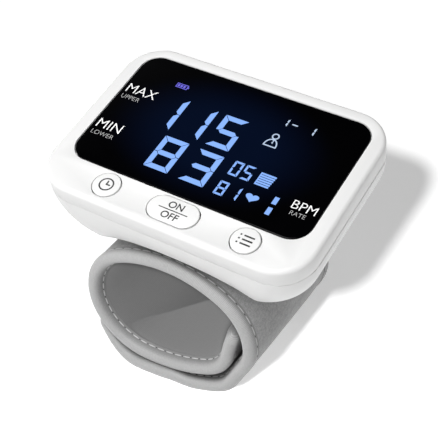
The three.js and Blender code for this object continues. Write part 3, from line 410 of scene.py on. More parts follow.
def new_group(name, inputs, outputs):
    """A node group. An input whose first value is a tuple is a colour, any other a plain number."""
    tree = bpy.data.node_groups.new(name, "ShaderNodeTree")
    for label, value in inputs.items():
        kind = "NodeSocketColor" if isinstance(value, tuple) else "NodeSocketFloat"
        socket = tree.interface.new_socket(label, in_out="INPUT", socket_type=kind)
        socket.default_value = value
    for label in outputs:
        kind = "NodeSocketColor" if label == "Color" else "NodeSocketFloat"
        tree.interface.new_socket(label, in_out="OUTPUT", socket_type=kind)
    return tree, tree.nodes.new("NodeGroupInput"), tree.nodes.new("NodeGroupOutput")


def feed(tree, socket, value):
    """Links a socket to another node's output, or sets it to a constant."""
    if isinstance(value, bpy.types.NodeSocket):
        tree.links.new(value, socket)
    else:
        socket.default_value = value


def math_node(tree, operation, *values):
    node = tree.nodes.new("ShaderNodeMath")
    node.operation = operation
    for socket, value in zip(node.inputs, values):
        feed(tree, socket, value)
    return node.outputs[0]


def weighted(tree, *parts):
    """The sum of several values, each times its weight."""
    shares = [math_node(tree, "MULTIPLY", value, weight) for value, weight in parts]
    total = shares[0]
    for share in shares[1:]:
        total = math_node(tree, "ADD", total, share)
    return total


def blend_colours(tree, share, dark, light):
    node = tree.nodes.new("ShaderNodeMix")
    node.data_type = "RGBA"
    for label, value in (("Factor", share), ("A", dark), ("B", light)):
        feed(tree, node.inputs[label], value)
    return node.outputs["Result"]


def noise_of(tree, scale, detail=2.0):
    place = tree.nodes.new("ShaderNodeTexCoord")
    node = tree.nodes.new("ShaderNodeTexNoise")
    tree.links.new(place.outputs["Object"], node.inputs["Vector"])
    feed(tree, node.inputs["Scale"], scale)
    feed(tree, node.inputs["Detail"], detail)
    return node.outputs["Fac"]


# %% Group: mottle
def make_mottle():
    inputs = {"Scale": 900.0, "Dark": grey(0.8), "Light": grey(0.9), "Rough Low": 0.3, "Rough High": 0.4}
    tree, given, made = new_group("mottle", inputs, ["Color", "Roughness", "Height"])
    broad = noise_of(tree, 60.0, 3.0)
    fine = noise_of(tree, given.outputs["Scale"], 2.0)
    colour = blend_colours(tree, broad, given.outputs["Dark"], given.outputs["Light"])
    spread = math_node(tree, "SUBTRACT", given.outputs["Rough High"], given.outputs["Rough Low"])
    rough = math_node(tree, "ADD", given.outputs["Rough Low"], math_node(tree, "MULTIPLY", fine, spread))
    tree.links.new(colour, made.inputs["Color"])
    tree.links.new(rough, made.inputs["Roughness"])
    tree.links.new(fine, made.inputs["Height"])
    return tree


MOTTLE = make_mottle()
print("group", MOTTLE.name)


# %% Group: brushed pile
def make_pile():
    inputs = {"Scale": 2200.0, "Dark": grey(0.2), "Light": grey(0.4)}
    tree, given, made = new_group("brushed_pile", inputs, ["Color", "Height"])
    fine = noise_of(tree, given.outputs["Scale"], 4.0)
    tufts = noise_of(tree, math_node(tree, "MULTIPLY", given.outputs["Scale"], 0.3), 3.0)
    broad = noise_of(tree, 90.0, 2.0)
    mixed = weighted(tree, (fine, 0.5), (tufts, 0.35), (broad, 0.15))
    steep = map_range(tree, mixed, {"From Min": 0.38, "From Max": 0.62})
    colour = blend_colours(tree, steep, given.outputs["Dark"], given.outputs["Light"])
    tree.links.new(colour, made.inputs["Color"])
    tree.links.new(mixed, made.inputs["Height"])
    return tree


PILE = make_pile()
print("group", PILE.name)

# %% Group: threads along the cuff
# Where the painted seam shade fades out across the tape, in mm from the band's middle.
SEAM_SHADE_FADE = {"From Min": 20.7, "From Max": 24.2}


def make_threads():
    inputs = {"Along Pitch": 0.5, "Across Pitch": 0.5, "Seam": 0.0, "Dark": grey(0.1), "Light": grey(0.2)}
    tree, given, made = new_group("threads", inputs, ["Color", "Height"])
    flat = tree.nodes.new("ShaderNodeAttribute")
    flat.attribute_name = "flat"
    parts = tree.nodes.new("ShaderNodeSeparateXYZ")
    tree.links.new(flat.outputs["Vector"], parts.inputs[0])
    waves = []
    for axis, pitch in (("X", "Along Pitch"), ("Y", "Across Pitch")):
        turns = math_node(tree, "DIVIDE", parts.outputs[axis], given.outputs[pitch])
        waves.append(math_node(tree, "SINE", math_node(tree, "MULTIPLY", turns, 2 * math.pi)))
    weave = math_node(tree, "ADD", weighted(tree, (waves[0], 0.25), (waves[1], 0.25)), 0.5)
    fuzz = noise_of(tree, 1800.0, 3.0)
    height = weighted(tree, (weave, 0.6), (fuzz, 0.4))
    # Painted shade: the colour grows darker towards the seam, so the tape's crest reads lighter, as light
    # falls on its round section.
    crest = map_range(tree, math_node(tree, "ABSOLUTE", parts.outputs["Y"]), SEAM_SHADE_FADE, smooth=True)
    seam_shade_share = math_node(tree, "SUBTRACT", 1.0, crest)
    painted_seam_shade = math_node(tree, "MULTIPLY", seam_shade_share, given.outputs["Seam"])
    share = math_node(tree, "SUBTRACT", height, painted_seam_shade)
    colour = blend_colours(tree, share, given.outputs["Dark"], given.outputs["Light"])
    tree.links.new(colour, made.inputs["Color"])
    tree.links.new(height, made.inputs["Height"])
    return tree


THREADS = make_threads()
print("group", THREADS.name)


# %% Building a finish from a group
def finish(name, group, values, bump, rough=0.5, metal=0.0, **sockets):
    """A material whose colour and height come from one group, with its constants on the shader."""
    look = bpy.data.materials.new(name)
    look.use_nodes = True
    tree = look.node_tree
    shader = tree.nodes["Principled BSDF"]
    effect = tree.nodes.new("ShaderNodeGroup")
    effect.node_tree = group
    set_inputs(effect, values)
    tree.links.new(effect.outputs["Color"], shader.inputs["Base Color"])
    if "Roughness" in effect.outputs:
        tree.links.new(effect.outputs["Roughness"], shader.inputs["Roughness"])
    else:
        shader.inputs["Roughness"].default_value = rough
    shader.inputs["Metallic"].default_value = metal
    set_inputs(shader, {label.replace("_", " "): value for label, value in sockets.items()})
    relief = tree.nodes.new("ShaderNodeBump")
    set_inputs(relief, {"Strength": bump[0], "Distance": bump[1] * MM})
    tree.links.new(effect.outputs["Height"], relief.inputs["Height"])
    tree.links.new(relief.outputs["Normal"], shader.inputs["Normal"])
    return look


def moulded(name, dark, light, rough, bump=(0.15, 0.02), scale=2500.0, metal=0.0, **sockets):
    values = {"Scale": scale, "Dark": dark, "Light": light, "Rough Low": rough[0], "Rough High": rough[1]}
    return finish(name, MOTTLE, values, bump, metal=metal, **sockets)


# %% Finishes of the case
WHITE = moulded("white_shell", (0.7, 0.7, 0.697, 1), (0.735, 0.735, 0.732, 1), (0.3, 0.42))
KEY_WHITE = moulded("white_key", (0.72, 0.72, 0.717, 1), (0.76, 0.76, 0.757, 1), (0.28, 0.36))
DARK_INK = moulded("dark_ink", grey(0.012), grey(0.02), (0.45, 0.6), bump=(0.05, 0.01))
LABEL_WHITE = moulded("label_white", grey(0.8), grey(0.9), (0.4, 0.5), bump=(0.05, 0.01))
LABEL_GREY = moulded("label_grey", grey(0.3), grey(0.38), (0.4, 0.5), bump=(0.05, 0.01))
print("finishes", [m.name for m in bpy.data.materials])

# %% [markdown]
# ## Top shell
# The upper shell is a block with round corners and a soft upper edge. It has a shallow seat for the black
# panel, a window under it, and three holes for the keys. Modelling the outside first and cutting the rest
# with simple bodies keeps every wall true.

# %% Top shell
CASE = {"width": 88, "depth": 62, "corner": 12, "height": 22, "wall": 1.8, "parting": 6}
GAP = 0.3
KEY_ROW = -24.2
KEYS = {
    "set": {"x": -20.9, "length": 8.4},
    "start": {"x": 1.8, "length": 16},
    "memory": {"x": 24.9, "length": 8.4},
}
KEY_DEPTH = 8.4
TOP = {"round": 1.3, "thick": 3, "seat": 1.35, "window_margin": 5.5}


def key_block(name, key, grow, zs):
    size = (key["length"] + 2 * grow, KEY_DEPTH + 2 * grow)
    return rounded_block(name, size, KEY_DEPTH / 2 + grow - 0.01, zs, (key["x"], KEY_ROW), 16)


def lens_block(name, grow, zs, corner):
    size = (LENS["width"] + 2 * grow, LENS["depth"] + 2 * grow)
    return rounded_block(name, size, corner, zs, (0, LENS["y"]))


outer_size = (CASE["width"], CASE["depth"])
top_shell = rounded_block("shell_top", outer_size, CASE["corner"], (-CASE["parting"], 0), steps=16)
round_over(top_shell, 0, TOP["round"], 6)
inner_size = (CASE["width"] - 2 * CASE["wall"], CASE["depth"] - 2 * CASE["wall"])
cut(
    top_shell,
    rounded_block("inside", inner_size, CASE["corner"] - CASE["wall"], (-CASE["height"], -TOP["thick"])),
    lens_block("seat", GAP, (-TOP["seat"], 1), LENS["corner"] + GAP),
    lens_block("window", -TOP["window_margin"], (-CASE["height"], 1), 0.3),
    *[key_block("hole", key, GAP, (-CASE["height"], 1)) for key in KEYS.values()],
)
soften(top_shell, 0.12)
settle(top_shell, CASE_PLACE, WHITE)
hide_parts("top_case")
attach(top_shell, "monitor_case")

# %% [markdown]
# ## The rolled cuff's course
# The cuff is one sewn band. Seen from the front it leaves the middle under the case to the left and to the
# right: the left part turns under as the inner wrap, and the right part goes down and round it as the outer
# flap. Each side is a list of arcs and straights, so a point of the flat band can be brought to its rolled
# place: its length along the band picks a spot on the course, and its height stands out from it.

# %% Course of the band
CROWN = 47.94
CUFF_MIDDLE = -2.07
HALF_BAND = 2.2
FLEX = 0.4
WRAP_SPARE = 4
LAYER_GAP = 0.6
FLAP_LEAN = 26
FLAP_FLAT = 16.2
FLAP_ROUNDS = {"root": 14, "corner": 18, "tip": 23}
TIP_GAP = 0.3


def arc(radius, degrees):
    return radius * math.radians(abs(degrees)), math.copysign(1 / radius, degrees)


def straight(length):
    return length, 0.0


class Course:
    """One side of the band, from the middle under the case outwards."""

    def __init__(self, side, moves):
        self.side = side
        self.stretches = []
        start, x, z, heading = 0.0, 0.0, CROWN, 0.0 if side > 0 else math.pi
        for length, bend in moves:
            turn = -side * bend
            self.stretches.append((start, x, z, heading, turn))
            x, z, heading = self.after(x, z, heading, turn, length)
            start += length
        self.length = start

    @staticmethod
    def after(x, z, heading, turn, length):
        if turn == 0:
            return x + length * math.cos(heading), z + length * math.sin(heading), heading
        end = heading + turn * length
        new_x = x + (math.sin(end) - math.sin(heading)) / turn
        return new_x, z - (math.cos(end) - math.cos(heading)) / turn, end

    def at(self, along):
        """The place at a length along the band, and the direction out of the loop there."""
        start, x, z, heading, turn = [s for s in self.stretches if s[0] <= max(along, 0)][-1]
        x, z, heading = self.after(x, z, heading, turn, along - start)
        return x, z, -self.side * math.sin(heading), self.side * math.cos(heading)


SADDLE_LEFT = [arc(40, 28), arc(20, 62)]
SADDLE_RIGHT = [arc(36, 28), arc(18, 62)]
WRAP = [arc(18.4, 90), arc(48.5, 28), arc(14, 55), arc(40, -9)]
LEFT_ROOT = sum(length for length, bend in SADDLE_LEFT) + FLEX
RIGHT_ROOT = sum(length for length, bend in SADDLE_RIGHT) + FLEX
left_course = Course(-1, SADDLE_LEFT + [straight(FLEX)] + WRAP + [straight(WRAP_SPARE)])
WRAP_END = left_course.length - WRAP_SPARE
wrap_lowest = min(left_course.at(LEFT_ROOT + i * 0.1)[1] for i in range(int((WRAP_END - LEFT_ROOT) * 10)))
flap_floor = wrap_lowest - 2 * HALF_BAND - LAYER_GAP
flap_top = Course(1, SADDLE_RIGHT + [straight(FLEX)]).at(RIGHT_ROOT)[1]
lean = math.radians(FLAP_LEAN)
corner_drop = FLAP_ROUNDS["root"] * math.sin(lean) + FLAP_ROUNDS["corner"] * (1 - math.sin(lean))
slope = (flap_top - flap_floor - corner_drop) / math.cos(lean)
FLAP = [
    arc(FLAP_ROUNDS["root"], FLAP_LEAN),
    straight(slope),
    arc(FLAP_ROUNDS["corner"], 90 - FLAP_LEAN),
    straight(FLAP_FLAT),
    arc(FLAP_ROUNDS["tip"], 45),
]
FLAP_TIP = [straight(TIP_GAP), arc(FLAP_ROUNDS["tip"], 9)]
right_course = Course(1, SADDLE_RIGHT + [straight(FLEX)] + FLAP + FLAP_TIP)
FLAP_CORNER = RIGHT_ROOT + FLAP_ROUNDS["root"] * lean + slope
FLAP_FOOT = FLAP_CORNER + sum(length for length, bend in FLAP[2:4])
FLAP_END = RIGHT_ROOT + sum(length for length, bend in FLAP)
FLAP_TIP_END = FLAP_END + TIP_GAP + FLAP_ROUNDS["tip"] * math.radians(8)
print("wrap", round(WRAP_END - LEFT_ROOT, 1), "flap", round(FLAP_END - RIGHT_ROOT, 1))
print("straight part of the flap", round(slope, 2))

# %% Rolling a flat piece
DRIFT = {"forward": 2, "back": 5}
THIN = {"share": 0.36, "from": 20.4, "to": 23.2}
CURL = {"least": 0.7, "more": 1.1, "growth": 0.0085, "flare": 1.5, "from": 14, "to": 24}


def ease(value, low, high):
    share = min(1.0, max(0.0, (value - low) / (high - low)))
    return share * share * (3 - 2 * share)


def flap_drift(along):
    """How far the flap strays from the band's line: forwards on the table and back again at its end."""
    share = max(0.0, along - RIGHT_ROOT) / (FLAP_TIP_END - RIGHT_ROOT)
    return DRIFT["back"] * share**5 - DRIFT["forward"] * ease(along, FLAP_CORNER + 6, FLAP_FOOT)


def thinned(course, along, across, out):
    """Towards its rims the band thins on its inner side. The flap's rims curl up from the table, and flare
    out a little further on."""
    if out < 0:
        out *= 1 - THIN["share"] * ease(abs(across), THIN["from"], THIN["to"])
    if course.side > 0:
        before_foot = max(0.0, FLAP_FOOT - along)
        flare = ease(along, FLAP_FOOT - 5, FLAP_FOOT + 6) - ease(along, FLAP_FOOT + 5, FLAP_END)
        lift = CURL["least"] + min(CURL["more"], CURL["growth"] * before_foot**2) - CURL["flare"] * flare
        near_rim = ease(abs(across), CURL["from"], CURL["to"])
        out -= lift * ease(along, FLAP_CORNER, FLAP_CORNER + 14) * near_rim
    return out


def roll(piece, course, thin=True):
    """Keeps a piece's flat coordinates as an attribute and wraps the piece round the course."""
    flat = piece.data.attributes.new("flat", "FLOAT_VECTOR", "POINT")
    for index, point in enumerate(piece.data.vertices):
        flat.data[index].vector = point.co
        along, across, out = point.co
        out = thinned(course, along, across, out) if thin else out
        x, z, out_x, out_z = course.at(along)
        drift = flap_drift(along) if course.side > 0 else 0.0
        height = z + out * out_z
        if course.side > 0:
            height = max(height, 0.0)
        point.co = (x + out * out_x, CUFF_MIDDLE + across + drift, height)
    if course.side < 0:
        edit(piece)
        bpy.ops.mesh.select_all(action="SELECT")
        bpy.ops.mesh.flip_normals()
        done()
    return piece


def along_x(edge):
    return abs(edge.verts[0].co.x - edge.verts[1].co.x) > 0.001


def along_y(edge):
    return abs(edge.verts[0].co.y - edge.verts[1].co.y) > 0.001


def slice_edges(piece, test, cuts):
    edit(piece)
    pick("edges", test)
    bpy.ops.mesh.subdivide(number_cuts=cuts)
    done()


def strip(name, xs, ys, zs, pitch=1.5, rows=20):
    """A flat length of cloth, sliced so that it can be rolled."""
    piece = block(name, xs, ys, zs)
    slice_edges(piece, along_y, rows)
    slice_edges(piece, along_x, min(99, round((xs[1] - xs[0]) / pitch)))
    return piece


# %% [markdown]
# ## Bottom shell
# The lower shell hangs from the parting line with a little straight wall, then rounds under: broadly at the
# left and right, tightly at the front and back, with the corner radius kept. It starts as a rounded block,
# whose lower face is extruded ring by ring. At the front the lower edge is drawn in, most in the middle, so
# it arches over the cuff. A wedge joins it to the cuff, and a body rolled like the cuff cuts both to fit.

# %% Hull
HULL_STEPS = 12
BELLY = {"side": 13, "end": 3.4, "rise": 15.5}
ARCH = {"pull": 6.6, "middle": 2, "half": 27}


def hull(name, inset, top):
    size = (CASE["width"] - 2 * inset, CASE["depth"] - 2 * inset)
    straight_end = BELLY["rise"] - CASE["height"]
    piece = rounded_block(name, size, CASE["corner"] - inset, (straight_end, top), steps=16)
    floor_level = inset - CASE["height"]
    level = straight_end
    last = 0.0
    edit(piece)
    for step in range(1, HULL_STEPS + 1):
        angle = math.pi / 2 * step / HULL_STEPS
        pulled = 1 - math.cos(angle)
        next_level = floor_level + (BELLY["rise"] - inset) * (1 - math.sin(angle))
        pick("faces", lambda face: face.normal.z < -0.99 and abs(face.calc_center_median().z - level) < 0.001)
        move = {"value": (0, 0, next_level - level)}
        bpy.ops.mesh.extrude_region_move(TRANSFORM_OT_translate=move)
        level = next_level
        for axis, width in ((0, BELLY["side"] - inset), (1, BELLY["end"] - inset)):
            for half in (-1, 1):
                pick("verts", lambda v: abs(v.co.z - level) < 0.001 and v.co[axis] * half > 0)
                shift = [0.0, 0.0, 0.0]
                shift[axis] = -half * width * (pulled - last)
                bpy.ops.transform.translate(value=shift)
        last = pulled
    done()
    slice_edges(piece, lambda edge: along_x(edge) and edge.calc_length() > 20 and edge.verts[0].co.y < 0, 18)
    for point in piece.data.vertices:
        if point.co.y < 0 and point.co.z < straight_end:
            depth = min(1.0, (straight_end - point.co.z) / (straight_end - floor_level))
            share = max(0.0, 1 - ((point.co.x - ARCH["middle"]) / ARCH["half"]) ** 2)
            point.co.y += ARCH["pull"] * share * (1 - math.sqrt(1 - depth * depth))
    return piece


# %% Wedge and the cuff's room
TO_CASE = CASE_PLACE.inverted() @ TO_METRES
SADDLE_WALL = HALF_BAND + GAP + CASE["wall"]
WEDGE = {"width": 24, "depth": 37.8, "corner": 4, "back": 1.4, "span": (-34, -18.4)}
RIM = 24.75
ROOM_DEPTH = 12
wedge_y = (TO_CASE @ Vector((0, CUFF_MIDDLE, CROWN + SADDLE_WALL))).y + WEDGE["back"]


def wedge(name, inset):
    size = (WEDGE["width"] - 2 * inset, WEDGE["depth"] - 2 * inset)
    return rounded_block(name, size, WEDGE["corner"] - inset, WEDGE["span"], (0, wedge_y), 8)


def cuff_room(name, clearance):
    """The saddle's space grown by a clearance, as two rolled blocks brought into the case's frame."""
    halves = []
    for course, end in ((left_course, LEFT_ROOT), (right_course, RIGHT_ROOT)):
        reach = RIM + clearance
        zs = (-ROOM_DEPTH, HALF_BAND + clearance)
        half = strip(name, (-0.05, end - FLEX), (-reach, reach), zs, rows=1)
        roll(half, course, thin=False)
        half.data.transform(TO_CASE)
        halves.append(half)
    return halves


# %% Bottom shell
SCREW_PLACES = [(30, -17.8), (30, 25.6), (-6.5, 25.6)]
SCREW = {"boss": 2.5, "pocket": 2.1, "bore": 1.1, "head": -13.8, "below": -40}
RIBS = {"wall": (-11.8, -10.6), "half": 24.4, "ends": (23.25, 24.45), "left": -44, "span": (-22, -9.4)}
DOOR = {"right": -14.8, "half": 21, "top": -10, "beyond": -60}
TONGUE = {"middle": 12, "half": 3, "reach": 2.7, "span": (-21, -20.2)}
PARTING_GAP = 0.04
BAY_TOP = -6.15


def door_space(grow):
    right, half, top = DOOR["right"] + grow, DOOR["half"] + grow, DOOR["top"] + grow
    return block("door_space", (DOOR["beyond"], right), (-half, half), (DOOR["beyond"], top))


def tongue(end, grow):
    middle = end * TONGUE["middle"]
    half = TONGUE["half"] + grow
    low, high = TONGUE["span"]
    xs = (DOOR["right"] - TONGUE["reach"], DOOR["right"] + TONGUE["reach"] + grow)
    return block("tongue", xs, (middle - half, middle + half), (low - grow, high + grow))


bottom_shell = join(hull("shell_bottom", 0, -CASE["parting"] - PARTING_GAP), wedge("wedge", 0))
cut(bottom_shell, *cuff_room("arch", GAP))
room = join(hull("room", CASE["wall"], 0), wedge("wedge_room", CASE["wall"]))
cut(room, *cuff_room("inner_arch", GAP + CASE["wall"]))
cut(bottom_shell, room)
bay_skin = hull("bay_skin", CASE["wall"] / 2, BAY_TOP)
cut(bay_skin, *cuff_room("bay_arch", GAP))
ribs = block("ribs", RIBS["wall"], (-RIBS["half"], RIBS["half"]), RIBS["span"])
for end in (-1, 1):
    ys = sorted(end * y for y in RIBS["ends"])
    join(ribs, block("rib", (RIBS["left"], RIBS["wall"][1]), ys, RIBS["span"]))
for place in SCREW_PLACES:
    join(ribs, rod("boss", SCREW["boss"], (RIBS["span"][0], BAY_TOP), place))
overlap(ribs, bay_skin)
join(bottom_shell, ribs)
cut(bottom_shell, door_space(GAP), tongue(-1, GAP), tongue(1, GAP))
for place in SCREW_PLACES:
    pocket = rod("pocket", SCREW["pocket"], (SCREW["below"], SCREW["head"]), place)
    bore = rod("bore", SCREW["bore"], (SCREW["below"], 0), place)
    cut(bottom_shell, pocket, bore)
soften(bottom_shell, 0.12)
settle(bottom_shell, CASE_PLACE, WHITE)
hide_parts("bottom_case")
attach(bottom_shell, "monitor_case")

# %% [markdown]
# ## Battery door
# The door is the piece of the same skin that the bottom shell leaves open, so it is made from the same hull.
# A few raised ribs show the thumb where to push it.

# %% Battery door
GRIP = {"first": -28.5, "pitch": 1.8, "count": 5, "size": (0.8, 11), "low": -22.35}
door = cut(hull("door_panel", 0, 0), hull("door_inside", CASE["wall"], 1), *cuff_room("door_arch", GAP))
overlap(door, door_space(0))
join(door, tongue(-1, 0), tongue(1, 0))
for place in range(GRIP["count"]):
    x = GRIP["first"] + GRIP["pitch"] * place
    grip = rounded_block("grip", GRIP["size"], 0.39, (GRIP["low"], -21), (x, 0), 6)
    round_over(grip, GRIP["low"], 0.25, 3)
    join(door, grip)
soften(door, 0.2)
settle(door, CASE_PLACE, WHITE)
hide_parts("battery_door")
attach(door, "battery_door")

# %% [markdown]
# ## Panel and keys
# The black panel lies flush in its seat with a fine round on its edge. The keys are caps with ears below,
# standing a little proud, so that the gap round them reads as a thin dark ring.

# %% Panel finish
PANEL_DARK = (0.0004, 0.0004, 0.0006, 1)
PANEL_LIGHT = (0.0007, 0.0007, 0.001, 1)
GLOW = {"x": -1.0, "size": (0.038, 0.025, 0.02), "colour": (0.0011, 0.004, 0.016, 1)}


def make_panel_look():
    """Gloss black with the faint navy of the lit display behind the marks, fading out from its middle."""
    look = moulded("black_panel", PANEL_DARK, PANEL_LIGHT, (0.05, 0.09), (0.02, 0.01))
    tree = look.node_tree
    shader = tree.nodes["Principled BSDF"]
    set_inputs(shader, {"Specular IOR Level": 0.1, "Emission Strength": 1.0})
    place = tree.nodes.new("ShaderNodeTexCoord")
    centre = CASE_PLACE @ Vector((GLOW["x"], LENS["y"], 0))
    shift = tree.nodes.new("ShaderNodeMapping")
    shift.vector_type = "TEXTURE"
    set_inputs(shift, {"Location": centre, "Rotation": (tilt, 0, 0), "Scale": GLOW["size"]})
    tree.links.new(place.outputs["Object"], shift.inputs["Vector"])
    ball = tree.nodes.new("ShaderNodeTexGradient")
    ball.gradient_type = "SPHERICAL"
    tree.links.new(shift.outputs["Vector"], ball.inputs["Vector"])
    even = map_range(tree, ball.outputs["Fac"], {"From Max": 0.65}, smooth=True)
    glow = blend_colours(tree, even, grey(0), GLOW["colour"])
    tree.links.new(glow, shader.inputs["Emission Color"])
    return look


PANEL_BLACK = make_panel_look()
print("finish", PANEL_BLACK.name)

# %% Panel and keys
panel = lens_block("panel_lens", 0, (-LENS["thick"], 0), LENS["corner"])
round_over(panel, 0, 0.2, 3)
smooth(panel)
settle(panel, CASE_PLACE, PANEL_BLACK)
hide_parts("display_lens")
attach(panel, "monitor_case")

KEY_TOP = 0.3
KEY_ROUND = 0.3
EAR = {"reach": 1.4, "half": 2.5, "span": (-3.95, -3.15)}
for label, key in KEYS.items():
    cap = key_block("key_" + label, key, 0, (EAR["span"][0], KEY_TOP))
    round_over(cap, KEY_TOP, KEY_ROUND, 4)
    reach = key["length"] / 2 + EAR["reach"]
    xs = (key["x"] - reach, key["x"] + reach)
    ys = (KEY_ROW - EAR["half"], KEY_ROW + EAR["half"])
    join(cap, block("ears", xs, ys, EAR["span"]))
    smooth(cap)
    settle(cap, CASE_PLACE, KEY_WHITE)
    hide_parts(label + "_button")
    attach(cap, label + "_button")

# %% [markdown]
# ## Cuff covers
# The band's outer side is brushed grey loop cloth and its inner side a smooth dark lining, with foam between
# them in the wrap. They are laid out flat as sliced strips, crowned a little as padding makes them, and then
# rolled. Each side is one piece across its root. The two sun lamps made for the lining light it alone.

# %% Cloth finishes
VELOUR = finish("brushed_loop", PILE, {"Scale": 2600.0, "Dark": grey(0.25), "Light": grey(0.38)}, (0.6, 0.25),
                rough=0.95, Sheen_Weight=0.25, Sheen_Roughness=0.5, Specular_IOR_Level=0.1)
LINING = finish("knit_lining", THREADS,
                {"Along Pitch": 0.55, "Across Pitch": 0.45, "Dark": grey(0.148), "Light": grey(0.208)},
                (0.3, 0.12), rough=0.85, Sheen_Weight=0.15, Specular_IOR_Level=0.15)
# Satin tape: its seam shade darkens it towards the seam, painted shade of the round tape and its groove, so
# the crest reads lighter.
TAPE = finish("satin_tape", THREADS,
              {"Along Pitch": 0.42, "Across Pitch": 9.0, "Seam": 0.7, "Dark": grey(0.2), "Light": grey(0.46)},
              (0.2, 0.08), rough=0.5, Sheen_Weight=0.2, Specular_IOR_Level=0.35)
THREAD = moulded("stitch_thread", grey(0.42), grey(0.55), (0.5, 0.7), bump=(0.3, 0.05))
# Needle holes: small near-black beads, whose colour is painted shade of the hole.
NEEDLE_HOLE_SHADE = moulded("needle_hole", grey(0.03), grey(0.06), (0.8, 0.9), bump=(0.2, 0.05))
HOOK = moulded("hook_tape", grey(0.02), grey(0.035), (0.5, 0.7), bump=(0.3, 0.05))
SILICONE = moulded("pale_silicone", (0.62, 0.63, 0.62, 1), (0.7, 0.71, 0.7, 1), (0.3, 0.4))
FOAM = finish("soft_foam", PILE, {"Scale": 1500.0, "Dark": grey(0.06), "Light": grey(0.13)}, (0.5, 0.3),
              rough=0.95)
print("finishes", len(bpy.data.materials))

# %% Shaping and hanging
BODIES = {-1: "cuff_wrap", 1: "cuff_flap"}
COURSES = {-1: left_course, 1: right_course}
ROOTS = {-1: LEFT_ROOT, 1: RIGHT_ROOT}
ENDS = {-1: WRAP_END, 1: FLAP_END}
SIDE_NAMES = {-1: "left", 1: "right"}
STRETCH_NAMES = {-1: "wrap", 1: "flap"}


def hang(piece):
    """Bakes the piece's place into its mesh; the piece is not attached to any body."""
    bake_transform(piece)
    return piece


def reshape(piece, rule):
    for point in piece.data.vertices:
        point.co = rule(*point.co)
    return piece


def ripple(along, across):
    return 0.12 * noise.noise(Vector((along * 0.11, across * 0.09, 3.7)))


# %% Covers, lining and filling
CLOTH_REACH = 22.6
PAD_REACH = 21
COVER_SPAN = (1.3, 2.2)
LINING_SPAN = (-2.2, -1.3)
FLAP_RISE = {"inner": 0.7, "outer": 2.3}
FILLING = {"reach": 21.4, "half": 1}


def padding(across, height):
    return height * (1 - abs(across / PAD_REACH) ** 4) if abs(across) < PAD_REACH else 0.0


def cover_shape(along, across, out):
    crown = padding(across, 0.3)
    lift = crown + ripple(along, across) * (crown > 0)
    return along, across, out + lift


def lining_shape(side):
    """The flap has no filling, so its lining rises and thickens to take that room."""
    def rule(along, across, out):
        on_flap = ease(along, ROOTS[1], ROOTS[1] + 4) if side > 0 else 0.0
        inner = LINING_SPAN[0] + FLAP_RISE["inner"] * on_flap
        outer = LINING_SPAN[1] + FLAP_RISE["outer"] * on_flap
        is_inner = out < sum(LINING_SPAN) / 2
        level = inner - padding(across, 0.2) * (1 - on_flap) if is_inner else outer
        return along, across, level
    return rule


for side in (-1, 1):
    course, label, stretch = COURSES[side], SIDE_NAMES[side], STRETCH_NAMES[side]
    reach = (-CLOTH_REACH, CLOTH_REACH)
    cover = strip("cuff_cover_" + label, (0, ENDS[side]), reach, COVER_SPAN, rows=24)
    roll(reshape(cover, cover_shape), course)
    smooth(cover)
    settle(cover, TO_METRES, VELOUR)
    lining = strip("cuff_lining_" + label, (0, ENDS[side]), reach, LINING_SPAN, rows=24)
    roll(reshape(lining, lining_shape(side)), course)
    smooth(lining)
    settle(lining, TO_METRES, LINING)
    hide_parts("saddle_outer_fabric", stretch + "_outer_fabric")
    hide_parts("saddle_lining", stretch + "_lining")
    for lamp in (cuff_light, fill_light):
        link_light(lamp, lining, True)
    for lamp in (key_light, top_light):
        link_light(lamp, lining, False)
    for piece in (cover, lining):
        hang(piece)

reach = (-FILLING["reach"], FILLING["reach"])
zs = (-FILLING["half"], FILLING["half"])
filling = strip("wrap_filling", (LEFT_ROOT + 0.2, WRAP_END), reach, zs, rows=8)
roll(filling, left_course)
smooth(filling)
settle(filling, TO_METRES, FOAM)
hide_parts("wrap_padding")
hang(filling)

# %% Air bladder
BLADDER = {"reach": 16.45, "span": (-1, 0), "edge": 3, "seam": 1.5, "seam_share": 0.3}


def pillow(along, across, out):
    """Full in the middle, and pressed to a flat seam along its rims."""
    fullness = 1 - ease(abs(across), BLADDER["reach"] - BLADDER["edge"], BLADDER["reach"] - BLADDER["seam"])
    share = BLADDER["seam_share"] + (1 - BLADDER["seam_share"]) * fullness
    middle = sum(BLADDER["span"]) / 2
    return along, across, middle + (out - middle) * share


halves = []
reach = (-BLADDER["reach"], BLADDER["reach"])
for side in (-1, 1):
    half = strip("bladder_half", (0, ROOTS[side] - FLEX), reach, BLADDER["span"], rows=24)
    halves.append(roll(reshape(half, pillow), COURSES[side]))
bladder = gather("cuff_bladder", halves)
smooth(bladder)
settle(bladder, TO_METRES, SILICONE)
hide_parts("air_bladder")
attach(bladder, "monitor_case")

# %% [markdown]
# ## Bound rims
# A satin tape is folded over the band's front and rear edges and sewn through. In section it is a C: up to
# the rim over the outer cloth, round it, and back under the lining, with a shallow groove where the seam
# pulls it in. A cylinder gives the ring of points, which are then put on the C.

# %% Tape
TAPE_SECTION_STEPS = 9
TAPE_TURN = {"across": 22.9, "wide": 1.85, "half": 2.46, "inner_wide": 1.4, "inner_half": 2.2}


